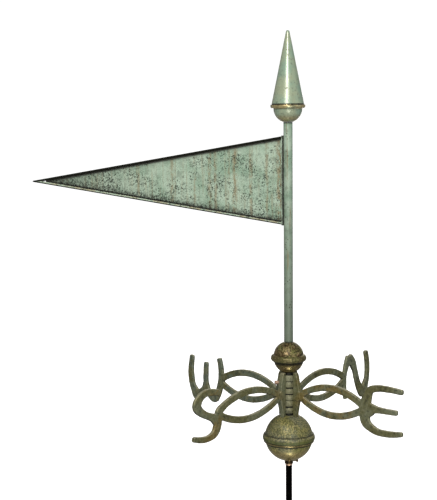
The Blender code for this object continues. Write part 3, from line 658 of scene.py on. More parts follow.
def verdigris_banner():
    """Pale green patina of the panel, with brown runs and a grey tip; the black along its edges is
    dirt and painted shade in the grooves by the rails.
    """
    sizes = settings("banner")
    paint = Paint("verdigris_banner")
    along, _, height = paint.axes(paint.stretched((1.0, 1.0, 1.0), sizes.bearing))
    level = height - BANNER_HEIGHT + along * sizes.lift
    hoist = TUBE_RADIUS + sizes.hoist_width
    apex = hoist + sizes.half_height / sizes.slope
    reach = (along + apex) * sizes.slope
    inside = reach - level.size()
    cloud = paint.noise(15.0, 6.0, 0.62, 0.3)
    bloom = paint.noise(75.0, 6.0, 0.68)
    paint.start(cloud.between(0.38, 0.60), "verdigris", "verdigris_light")
    paint.over(bloom.between(0.50, 0.66) * 0.45, "verdigris_grey")
    far = along.below(-0.60, -0.28)
    paint.over(far * 0.5, "verdigris_grey")
    streaks = paint.noise(1.0, 4.0, 0.65, 0.1,
                          paint.stretched((170.0, 170.0, 6.0), sizes.bearing))
    paint.over(streaks.between(0.52, 0.66) * 0.35, "ochre")
    sway = (paint.noise(26.0, 3.0) - 0.5) * 0.010
    patchy = paint.noise(1.0, 5.0, 0.7, 0.0,
                         paint.stretched((160.0, 160.0, 60.0), sizes.bearing))
    for distance, width, strength in BANNER_RUNS:
        run = (along + sway).near(-distance, width * 0.1, width)
        paint.over(run * patchy.between(0.40, 0.56) * strength, "ochre")
    crackle = paint.noise(230.0, 6.0, 0.8)
    sparse = paint.noise(22.0, 5.0, 0.65, 0.5).between(0.46, 0.60)
    dark = crackle.between(0.52, 0.60) * (sparse + 0.16) + far * crackle.between(0.48, 0.58) * 0.5
    paint.over(dark.least(0.85), "soot_and_shade")
    ragged = (inside + bloom * 0.024).below(0.018, 0.034)
    foot = (level + reach).below(0.012, 0.030)
    paint.over(ragged * 0.35 + foot * crackle.between(0.40, 0.54) * 0.6, "soot_and_shade")
    # Black band along every edge: dirt, and painted shade in the groove beside the rails
    paint.over(inside.below(0.007, 0.0125), "soot_and_shade")
    fine = paint.noise(380.0, 3.0)
    normal = paint.bump(fine * 0.35 + bloom - dark, 0.0009, 0.8)
    return paint.finish(bloom * 0.25 + 0.45, 0.1, Normal=normal)


def rail_finish(name, light):
    """A rail of the banner: black as painted shade, with a share of light green left as painted
    light where it faces up.
    """
    paint = Paint(name)
    cloud = paint.noise(60.0, 5.0, 0.6)
    paint.start(cloud.between(0.40, 0.62), "verdigris_light", "cast_bright_and_lit")
    speck = paint.noise(170.0, 4.0, 0.6).between(0.50, 0.64)
    # Painted light and shade: light green where the rail looks up, black where it looks down
    painted_lit_share = paint.upward().between(*light) * (1.0 - speck * 0.7)
    paint.over(1.0 - painted_lit_share, "soot_and_shade")
    normal = paint.bump(speck + cloud, 0.0004, 0.6)
    return paint.finish(0.6, Specular_IOR_Level=0.08, Normal=normal)


def hoist_finish():
    """The hoist rail: light green, with black painted as shade where it meets the tube."""
    paint = Paint("verdigris_hoist")
    along = paint.axes(paint.stretched((1.0, 1.0, 1.0), settings("banner").bearing))[0]
    cloud = paint.noise(60.0, 5.0, 0.6)
    paint.start(cloud.between(0.40, 0.62), "verdigris_grey", "verdigris_light")
    # Painted shade: black on the side of the rail next to the tube
    crease_shade = along.between(-TUBE_RADIUS - 0.0046, -TUBE_RADIUS - 0.0030)
    speck = paint.noise(170.0, 4.0, 0.6).between(0.52, 0.66)
    paint.over(crease_shade.most(speck * 0.6), "soot_and_shade")
    return paint.finish(0.5, 0.2, Normal=paint.bump(speck + cloud, 0.0004, 0.6))


def sage_copper():
    """Satin sage patina of the finial, with the gold metal showing through on its rim."""
    paint = Paint("sage_copper")
    _, _, height = paint.axes()
    cloud = paint.noise(26.0, 5.0, 0.6)
    fine = paint.noise(140.0, 6.0, 0.75)
    paint.start(cloud.between(0.36, 0.66), "sage", "verdigris")
    paint.over(fine.between(0.52, 0.62) * 0.35, "verdigris_grey")
    rim = CUP_HIGH.z - settings("mast").cup_rise
    roll = height.between(rim - 0.003, rim) * height.below(CUP_HIGH.z, CUP_HIGH.z + 0.002)
    bowl = height.below(CUP_LOW.z + 0.004, CUP_LOW.z + 0.022)
    worn = (roll * 0.8).most(bowl * 0.7)
    paint.over(worn * cloud.between(0.30, 0.55), "brass")
    paint.over((roll + bowl) * fine.between(0.46, 0.60) * 0.5, "bronze_dark")
    paint.over(height.near(SPIRE_LOW.z, 0.0006, 0.0030) * 0.95, "soot_and_shade")
    dark = fine.between(0.57, 0.66) * paint.noise(38.0, 4.0, 0.6).between(0.46, 0.58)
    paint.over(dark * 0.85, "soot_and_shade")
    normal = paint.bump(fine * 0.7 + cloud - dark, 0.0004, 0.5)
    return paint.finish(cloud * 0.14 + 0.22, 0.12 + worn * 0.6, Coat_Weight=0.70,
                        Coat_Roughness=0.28, Normal=normal)


def olive_globe():
    """Finely speckled olive patina of the large globe, greener on its seam, gold at its bead."""
    paint = Paint("olive_globe")
    _, _, height = paint.axes()
    sizes = settings("mast")
    rise = sizes.large_rise
    rim = LARGE_HIGH.z - drop(sizes.large_radius, SLEEVE_RADIUS) - sizes.large_rim_drop
    cloud = paint.noise(24.0, 5.0, 0.6)
    grain = paint.noise(260.0, 4.0, 0.7)
    paint.start(cloud.between(0.36, 0.64), "olive", "cast_grey")
    paint.over(grain.between(0.52, 0.64) * 0.5, "brass")
    paint.over(grain.below(0.40, 0.50) * 0.5, "bronze_dark")
    paint.over(height.near(rim - 0.003, 0.0055, 0.0085) * 0.65, "olive_green")
    bead = height.near(rim - rise * 0.66, 0.0010, 0.0026)
    # Brass on the underside is in part painted reflection of the light from below; on the bead it
    # is worn metal
    under = height.below(LARGE_LOW.z + 0.020, rim - 0.016)
    worn = (bead * 0.9).most(under * 0.8) * cloud.between(0.20, 0.46)
    paint.over(worn * 0.75, "brass")
    paint.over(grain.below(0.42, 0.54) * 0.3, "bronze_dark")
    # Painted shade: black along the seam's upper crease, in the groove above its bead and under
    # the seam
    over = height.near(rim + rise, 0.0006, 0.0026) * 0.8
    middle = height.near(rim - rise * 0.50, 0.0004, 0.0018)
    paint.over(over.most(middle).most(height.near(rim - rise, 0.0010, 0.0036)) * 0.8, "soot_and_shade")
    normal = paint.bump(grain + cloud, 0.0004, 0.5)
    return paint.finish(grain * 0.2 + 0.42 - worn * 0.34, 0.30 + worn * 0.6, Normal=normal)


def mottled_bronze():
    """Brown mottled patina of the small globe, pale and dark specks side by side."""
    paint = Paint("mottled_bronze")
    _, _, height = paint.axes()
    sizes = settings("mast")
    rim = (SMALL_HIGH.z - drop(sizes.small_radius, TUBE_RADIUS + SEAT_MARGIN)
           - sizes.small_rim_drop)
    cloud = paint.noise(40.0, 5.0, 0.6)
    mottle = paint.noise(210.0, 5.0, 0.75)
    paint.start(cloud.between(0.38, 0.62), "bronze", "olive")
    paint.over(mottle.between(0.52, 0.60) * 0.85, "bronze_light")
    paint.over(mottle.below(0.42, 0.50), "bronze_dark")
    paint.over(height.near(rim, 0.0070, 0.0092) * 0.45, "cast_olive")
    # Painted shadow: a dark band under the seam's overhang
    paint.over(height.near(rim - sizes.small_rise * 1.25, 0.0030, 0.0056) * 0.9, "soot_and_shade")
    # Brass on the underside: painted reflection in part, of the light from below
    under = height.below(SMALL_LOW.z + 0.016, SMALL_LOW.z + 0.026)
    paint.over(under * 0.2, "brass")
    normal = paint.bump(mottle + cloud, 0.0006, 0.7)
    return paint.finish(mottle * 0.2 + 0.28 - under * 0.14, 0.55 + under * 0.3, Normal=normal)


def cast_brass(name, worn_arms):
    """Dark olive patina of the castings, ochre where most worn; pale on top as painted light,
    black beneath and in creases as painted shade.
    """
    paint = Paint(name)
    east, north, height = paint.axes()
    cloud = paint.noise(13.0, 5.0, 0.6, 0.3)
    grain = paint.noise(150.0, 6.0, 0.75)
    mottle = paint.noise(45.0, 5.0, 0.7, 0.4)
    paint.start(cloud.between(0.40, 0.62), "cast_olive", "cast_grey")
    smear = paint.noise(30.0, 5.0, 0.65, 0.5).between(0.42, 0.58)
    for along, start, stop, strength, shade in worn_arms:
        where = (east if along[0] else north) * (along[0] or along[1])
        span = where.between(start - 0.02, start + 0.02) * where.below(stop - 0.02, stop + 0.02)
        paint.over(span * smear * strength, shade)
    edge = paint.edges()
    up = paint.upward()
    paint.over(edge.between(0.51, 0.56) * 0.45, "cast_bright_and_lit")
    # Painted light on the faces that look up; painted shade on those that look down and in the
    # creases
    paint.over(up.between(0.30, 0.85) * 0.75, "cast_bright_and_lit")
    paint.over(up.below(-0.80, -0.15) * 0.85, "soot_and_shade")
    paint.over(edge.below(0.44, 0.49) * 0.9, "soot_and_shade")
    paint.over(mottle.between(0.54, 0.64) * 0.45, "soot_and_shade")
    paint.over(grain.between(0.53, 0.64) * 0.6, "soot_and_shade")
    paint.over(grain.below(0.36, 0.46) * 0.35, "cast_bright_and_lit")
    radius = (east ** 2.0 + north ** 2.0) ** 0.5
    # Painted shade on the sleeves: black in the slits between the rings and on the necks above and
    # below them
    on_sleeve = radius.below(SLEEVE_RADIUS + 0.0001, SLEEVE_RADIUS + 0.0003)
    sizes = settings("arms")
    split = sizes.height + sizes.sleeve_rise
    unshaded = (height - split - sizes.ring * 3).below(-0.0006, 0.0)
    for level, width in SHADED_SLITS:
        slit = (height - split - sizes.ring * level).size().between(width * 0.6, width * 1.2)
        unshaded = unshaded.least(slit)
    unshaded = unshaded.least((height - split + sizes.ring * 3).between(0.0, 0.0006))
    paint.over(on_sleeve * (1.0 - unshaded), "soot_and_shade")
    normal = paint.bump(grain + cloud * 1.5 + mottle, 0.0009, 0.7)
    return paint.finish(grain * 0.25 + 0.36, 0.35, Normal=normal)


def plain_metal(name, shade, roughness, metallic, sheen=0.5):
    """Worn plain metal with a little dirt in its surface."""
    paint = Paint(name)
    cloud = paint.noise(150.0, 4.0, 0.6)
    paint.start(cloud.between(0.48, 0.66) * 0.3, shade, "soot_and_shade")
    return paint.finish(cloud * 0.2 + roughness, metallic, Specular_IOR_Level=sheen,
                        Normal=paint.bump(cloud, 0.0002, 0.5))


def dress(piece, body, material, slot, *nodes):
    """Give a piece its finish and body, and let it stand for its CAD nodes; the slot is not used.
    """
    if not piece.data.polygons:
        raise RuntimeError(f"{piece.name} came out empty")
    piece.data.materials.clear()
    piece.data.materials.append(material)
    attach(piece, body)
    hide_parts(*nodes)
    return piece


# Pieces

def screw_shape(name, head, reach, head_radius, shank_radius, softened):
    """A screw along +X, from the rod's bore to its reach; a thumb screw's edges are softened."""
    round_off = head_radius * 0.35
    outline = [(0.0, BORE), (shank_radius, BORE), (shank_radius, head), (head_radius * 0.8, head),
               (head_radius, head + round_off * 0.5), (head_radius, reach - round_off),
               (head_radius * 0.86, reach - round_off * 0.3), (head_radius * 0.6, reach),
               (0.0, reach)]
    piece = turned(name, outline, SCREW_SIDES, bored=False)
    if softened:
        modify(piece, "BEVEL", width=0.0003, segments=2, limit_method="ANGLE",
               angle_limit=math.radians(40))
    return moved(piece, Matrix.Rotation(QUARTER, 4, "Y"))


def bearing_of(low, high):
    """Bearing of a node about the rod, from its box."""
    middle = (low + high) / 2
    return math.atan2(middle.y, middle.x)


def reach_of(low, high, bearing, radius):
    """How far a screw reaches from the axis, from its box, its bearing and its radius."""
    corner = max(abs(low.x), abs(high.x))
    return (corner - radius * abs(math.sin(bearing))) / abs(math.cos(bearing))


class WEATHERVANE_OT_rod(bpy.types.Operator):
    """Model the steel rod with its collar and the collar's screw."""
    bl_idname = "weathervane.rod"
    bl_label = "Rod and collar"

    def execute(self, context):
        outline = [(0.0, ROD_HIGH.z), (ROD_RADIUS - ROD_TIP, ROD_HIGH.z),
                   (ROD_RADIUS - ROD_TIP * 0.3, ROD_HIGH.z - ROD_TIP * 0.4),
                   (ROD_RADIUS, ROD_HIGH.z - ROD_TIP), (ROD_RADIUS, GAP),
                   (ROD_RADIUS - GAP, 0.0), (0.0, 0.0)]
        rod = turned("rod_steel", outline, ROD_SIDES, bored=False)
        dress(rod, "standing", plain_metal("black_steel", "steel", 0.8, 0.0, sheen=0.01),
              "black_steel", "steel_rod")
        top, low, radius = COLLAR_HIGH.z, COLLAR_LOW.z, COLLAR_HIGH.x
        step, lip = low + COLLAR_LIP, COLLAR_LIP_RADIUS
        outline = [(BORE, top), (radius - 0.0012, top), (radius - 0.0003, top - 0.0004),
                   (radius, top - 0.0013), (radius, step + 0.0010),
                   (radius - 0.0004, step + 0.0002), (lip - 0.0004, step),
                   (lip - 0.0004, step - 0.0004), (lip, step - 0.0010), (lip, low + 0.0016),
                   (lip - 0.0002, low + 0.0006), (lip - 0.0006, low), (BORE, low)]
        ring = turned("collar_ring", outline, ROD_SIDES)
        dress(ring, "standing", self.collar_finish(step), "bright_copper", "rod_collar")
        bearing = bearing_of(CLAMP_LOW, CLAMP_HIGH)
        reach = reach_of(CLAMP_LOW, CLAMP_HIGH, bearing, THUMB_RADIUS)
        clamp = screw_shape("collar_thumb_screw", reach - THUMB_LENGTH, reach, THUMB_RADIUS,
                            THUMB_SHANK, True)
        height = (CLAMP_LOW.z + CLAMP_HIGH.z) / 2
        moved(clamp, Matrix.Translation((0, 0, height)) @ Matrix.Rotation(bearing, 4, "Z"))
        dress(clamp, "standing", plain_metal("clamp_bronze", "bronze", 0.3, 0.8),
              "bright_copper", "collar_screw")
        return {"FINISHED"}

    def collar_finish(self, step):
        """Dark bronze band over a bright copper lip."""
        paint = Paint("collar_copper")
        _, _, height = paint.axes()
        cloud = paint.noise(160.0, 4.0, 0.6)
        paint.start(cloud.between(0.40, 0.62), "bronze_dark", "bronze")
        paint.over(height.below(step - 0.0008, step), "copper")
        return paint.finish(cloud * 0.2 + 0.22, 0.9, Normal=paint.bump(cloud, 0.0002, 0.4))


class WEATHERVANE_OT_globes(bpy.types.Operator):
    """Model the two globes, each of two spun halves with a rolled seam."""
    bl_idname = "weathervane.globes"
    bl_label = "Globes"

    def execute(self, context):
        sizes = settings("mast")
        large = self.globe("globe_large", sizes.large_radius, LARGE_LOW.z, LARGE_HIGH.z,
                           (COLLAR_HIGH.x + SEAT_MARGIN, SLEEVE_RADIUS), sizes.large_proud,
                           sizes.large_rise, sizes.large_rim_drop, LARGE_SEAM)
        dented(large, 0.045, 0.0006)
        dress(large, "standing", olive_globe(), "olive_copper", "large_globe")
        small = self.globe("globe_small", sizes.small_radius, SMALL_LOW.z, SMALL_HIGH.z,
                           (SLEEVE_RADIUS, TUBE_RADIUS + SEAT_MARGIN), sizes.small_proud,
                           sizes.small_rise, sizes.small_rim_drop, SMALL_SEAM)
        dented(small, 0.035, 0.0005, 0.4)
        dress(small, "standing", mottled_bronze(), "mottled_bronze", "small_globe")
        return {"FINISHED"}

    def globe(self, name, radius, bottom, top, seats, proud, rise, rim_drop, seam):
        """A ball of two halves on the rod, turned from its outline."""
        low_seat, up_seat = seats
        up = top - drop(radius, up_seat)
        low = bottom + drop(radius, low_seat)
        rim = up - rim_drop
        seam_line = smooth_line([(radius + proud * out, rim + rise * level)
                                 for out, level in seam], SEAM_STEP)
        first, last = seam_line[0][1], seam_line[-1][1]
        outline = arc(radius, up, math.acos(up_seat / radius), math.asin((first - up) / radius))
        outline += seam_line
        outline += arc(radius, low, -math.asin((low - last) / radius),
                       -math.acos(low_seat / radius))
        return turned(name, [(BORE, top), *outline, (BORE, bottom)])


class WEATHERVANE_OT_directionals(bpy.types.Operator):
    """Model the two castings with the compass letters, and the hub's set screw."""
    bl_idname = "weathervane.directionals"
    bl_label = "Directionals"

    def execute(self, context):
        for name, sides, side, node, worn in (
                ("casting_north_south", ("north", "south"), 1, "directional_north_south",
                 WORN_NORTH_SOUTH),
                ("casting_east_west", ("east", "west"), -1, "directional_east_west",
                 WORN_EAST_WEST)):
            shapes = []
            for direction in sides:
                shapes += self.arm(direction)
                shapes += self.fin(direction, side)
            casting = join(name, shapes)
            modify(casting, "REMESH", mode="VOXEL", voxel_size=settings("arms").grain)
            modify(casting, "SMOOTH", factor=0.5, iterations=4)
            dented(casting, 0.014, 0.0007, 0.2)
            casting = join(name, [casting, self.sleeve(side)])
            bpy.ops.object.shade_smooth_by_angle(angle=math.radians(50))
            dress(casting, "standing", cast_brass(name + "_brass", worn), "cast_brass", node)
        bearing = bearing_of(SCREW_LOW, SCREW_HIGH)
        reach = reach_of(SCREW_LOW, SCREW_HIGH, bearing, SET_RADIUS)
        screw = screw_shape("set_screw_brass", SLEEVE_RADIUS + GAP, reach, SET_RADIUS, SET_SHANK,
                            False)
        height = (SCREW_LOW.z + SCREW_HIGH.z) / 2
        moved(screw, Matrix.Translation((0, 0, height)) @ Matrix.Rotation(bearing, 4, "Z"))
        dress(screw, "standing", plain_metal("worn_screw", "screw", 0.42, 0.5), "screw_brass",
              "hub_set_screw")
        return {"FINISHED"}

    def arm(self, direction):
        """The two bars and the letter of one arm."""
        sizes = settings("arms")
        strokes, lower_bowl, end_at, short, bearing = ARMS[direction]
        upper = self.lens(end_at, 1, BOWL_SHORT if lower_bowl else short)
        if lower_bowl:
            tail = smooth_line([upper[-1], *self.in_letter(lower_bowl)], LETTER_STEP)
            upper = upper[:-1] + self.rounded(tail)[2:]
        lines = [upper, self.lens(end_at, -1, short)]
        lines += [self.rounded(smooth_line(self.in_letter(stroke), LETTER_STEP))
                  for stroke in strokes]
        place = Matrix.Translation((0, 0, sizes.height)) @ Matrix.Rotation(bearing, 4, "Z")
        return [moved(self.bar(points), place) for points in lines]

    def lens(self, end_at, side, short):
        """Centre line of one of the two bars that part and meet again."""
        sizes = settings("arms")
        steps = 36
        reach = 1.0 - short / (end_at - sizes.lens_start)
        fullness = sizes.fullness_up if side > 0 else sizes.fullness_low
        points = [[SLEEVE_RADIUS + sizes.fin_spread / 2, 0.0, sizes.width_hub]]
        for index in range(steps + 1):
            share = reach * index / steps
            bow = math.sin(math.pi * share)
            points.append([sizes.lens_start + (end_at - sizes.lens_start) * share,
                           sizes.lens_rise * bow ** fullness * side,
                           sizes.width_hub + (sizes.width_out - sizes.width_hub) * share
                           + sizes.wider * bow + sizes.cast_over])
        return points

    def in_letter(self, stroke):
        """A letter's stroke in the arm's plane, from shares of the letter's box."""
        sizes = settings("arms")
        return [[sizes.letter_start + sizes.letter_width * along, sizes.letter_half * up,
                 width + sizes.cast_over]
                for along, up, width in stroke]

    def rounded(self, points):
        """Close both ends of a stroke with narrower cuts."""
        def caps(end_point, inner):
            away = Vector((end_point[0] - inner[0], end_point[1] - inner[1])).normalized()
            width = end_point[2]
            return [[end_point[0] + away.x * width * far, end_point[1] + away.y * width * far,
                     width * narrow] for far, narrow in STROKE_END]
        first, last = caps(points[0], points[1]), caps(points[-1], points[-2])
        return [*reversed(first), *points, *last]

    def bar(self, points):
        """Extrude a rounded section along points of (along, up, width)."""
        sizes = settings("arms")
        headings = []
        for index in range(len(points)):
            before = points[max(index - 1, 0)]
            after = points[min(index + 1, len(points) - 1)]
            headings.append(math.atan2(after[0] - before[0], after[1] - before[1]))
        piece = begin("plane", "bar", size=1.0)
        bpy.ops.transform.resize(value=(points[0][2], sizes.thickness, 1.0))
        bpy.ops.mesh.bevel(affect="VERTICES", offset=sizes.corner, segments=3)
        bpy.ops.mesh.select_all(action="SELECT")
        turn(headings[0], "Y")
        here = Vector((points[0][0], 0.0, points[0][1]))
        bpy.ops.transform.translate(value=here)
        for index in range(1, len(points)):
            there = Vector((points[index][0], 0.0, points[index][1]))
            bpy.ops.mesh.extrude_region_move(TRANSFORM_OT_translate={"value": there - here})
            turn(-headings[index - 1], "Y", there)
            bpy.ops.transform.resize(value=(points[index][2] / points[index - 1][2], 1.0, 1.0),
                                     center_override=there)
            turn(headings[index], "Y", there)
            here = there
        return end(piece)

    def fin(self, direction, side):
        """The plate that joins an arm to its sleeve and cradles both globes."""
        sizes = settings("arms")
        bearing = ARMS[direction][-1]
        inside = SLEEVE_RADIUS + 0.0005
        edge = smooth_line([(SLEEVE_RADIUS + GAP + sizes.fin_spread * out,
                             sizes.height + (sizes.fin_above if up > 0 else sizes.fin_below) * up)
                            for out, up in FIN_EDGE], FIN_STEP)[:-1]
        low, high = self.sleeve_span(side)
        globe = settings("mast").large_radius + GAP
        centre = LARGE_HIGH.z - drop(settings("mast").large_radius, SLEEVE_RADIUS)
        foot = edge[-1][0]
        cradle = [(foot + (inside - foot) * step / 6,
                   centre + drop(globe, foot + (inside - foot) * step / 6)) for step in range(7)]
        top = sizes.height + sizes.fin_above
        slab = plate("fin", [(inside, top), *edge, *cradle], sizes.fin_thickness)
        block = begin("cube", "lug", size=1.0)
        bpy.ops.transform.resize(value=(LUG_DEPTH, sizes.fin_thickness - 2 * LUG_INSIDE,
                                        high - low - LUG_SHORT))
        bpy.ops.transform.translate(value=(inside - LUG_BACK, 0.0, (low + high) / 2))
        end(block)
        return [moved(shape, Matrix.Rotation(bearing, 4, "Z")) for shape in (slab, block)]

    def sleeve_span(self, side):
        """Lowest and highest height of the upper (1) or lower (-1) sleeve."""
        sizes = settings("arms")
        near = sizes.height + sizes.sleeve_rise + side * GAP / 2
        far = near + side * sizes.ring * 3
        return min(near, far), max(near, far)

    def sleeve(self, side):
        """A sleeve on the rod: three rings with grooves between them, and a neck to its globe."""
        sizes = settings("arms")
        low, high = self.sleeve_span(side)
        soft = RING_ROUND
        radius = SLEEVE_RADIUS
        upper = side > 0
        top = sizes.height + sizes.fin_above if upper else high
        bottom = low if upper else LARGE_HIGH.z + GAP
        outline = [(BORE, top)]
        if upper:
            outline += [(sizes.neck, top), (sizes.neck, high)]
        outline += [(radius - soft, high), (radius - soft * 0.3, high - soft * 0.3),
                    (radius, high - soft)]
        for index, depth in enumerate(GROOVES, 1):
            level = high - sizes.ring * index
            half = 0.0004 + depth * 0.25
            outline += [(radius, level + half + soft), (radius - soft * 0.4, level + half),
                        (radius - depth, level + half * 0.5), (radius - depth, level - half * 0.5),
                        (radius - soft * 0.3, level - half), (radius, level - half - soft)]
        outline += [(radius, low + soft), (radius - soft * 0.3, low + soft * 0.3),
                    (radius - soft, low)]
        if not upper:
            outline += [(sizes.neck, low), (sizes.neck, bottom)]
        outline.append((BORE, bottom))
        return turned("sleeve", outline, SLEEVE_SIDES)


class WEATHERVANE_OT_mast(bpy.types.Operator):
    """Model the tube that turns on the rod."""
    bl_idname = "weathervane.mast"
    bl_label = "Mast tube"

    def execute(self, context):
        soft = 0.0004
        radius, low, top = TUBE_RADIUS, TUBE_LOW.z, TUBE_HIGH.z
        cuts = 40
        side = [(radius, top - soft - (top - low - 2 * soft) * index / cuts)
                for index in range(cuts + 1)]
        outline = [(radius - TUBE_WALL, top), (radius - soft, top), *side, (radius - soft, low),
                   (radius - TUBE_WALL, low)]
        tube = turned("tube_verdigris", outline, ROD_SIDES)
        dented(tube, 0.05, 0.0003)
        dress(tube, "vane", verdigris_tube(), "verdigris", "mast_tube")
        return {"FINISHED"}


class WEATHERVANE_OT_finial(bpy.types.Operator):
    """Model the finial's cup and spire."""
    bl_idname = "weathervane.finial"
    bl_label = "Finial"

    def execute(self, context):
        sizes = settings("mast")
        seat = TUBE_RADIUS + SEAT_MARGIN
        radius = sizes.cup_radius
        centre = CUP_LOW.z + drop(radius, seat)
        base = CUP_HIGH.z - sizes.cup_rise
        rim = smooth_line([(radius + sizes.cup_proud * out, base + sizes.cup_rise * up)
                           for out, up in CUP_RIM], SEAM_STEP)
        outline = [(0.0, CUP_HIGH.z), *rim]
        outline += arc(radius, centre, 0.0, -math.acos(seat / radius))
        outline.append((0.0, CUP_LOW.z))
        cup = turned("finial_bowl", outline, bored=False)
        dented(cup, 0.03, 0.0004)
        finish = sage_copper()
        dress(cup, "vane", finish, "sage_copper", "finial_cup")
        top, foot, wide, tip = SPIRE_HIGH.z, SPIRE_LOW.z, SPIRE_HIGH.x, sizes.spire_tip
        nose = arc(tip, top - tip, QUARTER, math.radians(15), 8)
        steps = 30
        start, stop = Vector(nose[-1]), Vector((wide, foot + 0.0012))
        side = [tuple(start.lerp(stop, index / steps)) for index in range(1, steps + 1)]
        outline = [*nose, *side, (wide - 0.0004, foot + 0.0003), (wide - 0.0014, foot),
                   (0.0, foot)]
        spire = turned("finial_cone", outline, bored=False)
        dented(spire, 0.04, 0.0004, 0.3)
        dress(spire, "vane", finish, "sage_copper", "finial_spire")
        return {"FINISHED"}


class WEATHERVANE_OT_banner(bpy.types.Operator):
    """Model the banner's panel and the three rails round it."""
    bl_idname = "weathervane.banner"
    bl_label = "Banner"

    def execute(self, context):
        sizes = settings("banner")
        hoist = TUBE_RADIUS + sizes.hoist_width
        self.hoist = hoist
        inset = 2 * sizes.rail + SLIVER
        field = plate("field", self.taper(inset + sizes.groove, sizes.groove, sizes.field),
                      sizes.field)
        cuts = [((-hoist - FIELD_STRIP * index, 0, 0), (1, 0, 0))
                for index in range(1, FIELD_STRIPS)]
        cuts += [((0, 0, FIELD_ROW * index), (0, 0, 1))
                 for index in range(1 - FIELD_ROWS, FIELD_ROWS)]
        sliced(field, cuts)
        modify(field, "BEVEL", width=FIELD_EDGE, segments=3, limit_method="ANGLE",
               angle_limit=math.radians(50))
        dented(field, 0.07, 0.0014)
        web = plate("web", self.taper(inset, 0.0, sizes.web), sizes.web)
        panel = modify(field, "BOOLEAN", operation="UNION", solver="EXACT", object=web)
        bpy.data.objects.remove(web)
        panel.name = "panel_verdigris"
        choose(panel)
        bpy.ops.object.shade_smooth_by_angle(angle=math.radians(40))
        self.hang(panel, sizes.lift)
        dress(panel, "vane", verdigris_banner(), "verdigris", "banner_panel")
        # Each rail's range of upward facing that keeps the painted light; the rest of the rail is
        # painted in shade
        for name, side, node, light in (
                ("rail_top", 1, "banner_top_rail", (0.90, 1.0)),
                ("rail_bottom", -1, "banner_bottom_rail", (-0.35, 0.25))):
            rail = self.edge_rail(name, side)
            self.hang(rail, sizes.lift)
            dress(rail, "vane", rail_finish(name + "_verdigris", light), "verdigris", node)
        near, top = TUBE_RADIUS + SLIVER, sizes.half_height + sizes.hoist_over
        outline = [(-hoist, top), (-hoist, -top), (-near, -top), (-near, top)]
        bar = plate("rail_hoist", outline, sizes.hoist_thickness, HOIST_EDGE)
        self.hang(bar, 0.0)
        dress(bar, "vane", hoist_finish(), "verdigris", "banner_hoist_rail")
        return {"FINISHED"}

    def taper(self, inset, hoist_gap, thickness):
        """Corners of a tapering plate, set in from the banner's outer edges."""
        sizes = settings("banner")
        start = self.hoist + SLIVER + hoist_gap
        lean = math.hypot(1.0, sizes.slope)
        apex = self.hoist + sizes.half_height / sizes.slope - inset * lean / sizes.slope
        blunt = thickness / 2
        tip = apex - blunt / sizes.slope
        tall = (apex - start) * sizes.slope
        return [(-start, tall), (-tip, blunt), (-tip, -blunt), (-start, -tall)]

    def edge_rail(self, name, side):
        """A round rail along one edge, cut upright at the hoist and mitred at the tip."""
        sizes = settings("banner")
        lean = math.hypot(1.0, sizes.slope)
        apex = self.hoist + (sizes.half_height - sizes.rail * lean) / sizes.slope
        start, tip = self.hoist + SLIVER, sizes.tip
        overrun = sizes.rail * 2
        first = Vector((-start + overrun, 0.0, side * (apex - start + overrun) * sizes.slope))
        ahead = Vector((-1.0, 0.0, -side * sizes.slope)).normalized()
        length = (tip - start + 2 * overrun) * lean
        piece = begin("circle", name, vertices=24, radius=sizes.rail, fill_type="NGON")
        turn(math.atan2(ahead.x, ahead.z), "Y")
        bpy.ops.transform.translate(value=first)
        steps = 60
        for _ in range(steps):
            bpy.ops.mesh.extrude_region_move(
                TRANSFORM_OT_translate={"value": ahead * length / steps})
        for point, normal in (((-start, 0, 0), (1, 0, 0)), ((-tip, 0, 0), (-1, 0, 0)),
                              ((0, 0, side * SLIVER), (0, 0, -side))):
            bpy.ops.mesh.select_all(action="SELECT")
            bpy.ops.mesh.bisect(plane_co=point, plane_no=normal, use_fill=True, clear_outer=True)
        return end(piece)

    def hang(self, piece, lift):
        """Lift the banner's tip and turn the piece to the vane's bearing."""
        sizes = settings("banner")
        slant = Matrix.Identity(4)
        slant[2][0] = -lift
        piece.data.transform(slant)
        moved(piece, Matrix.Rotation(sizes.bearing, 4, "Z")
              @ Matrix.Translation((0, 0, BANNER_HEIGHT)))


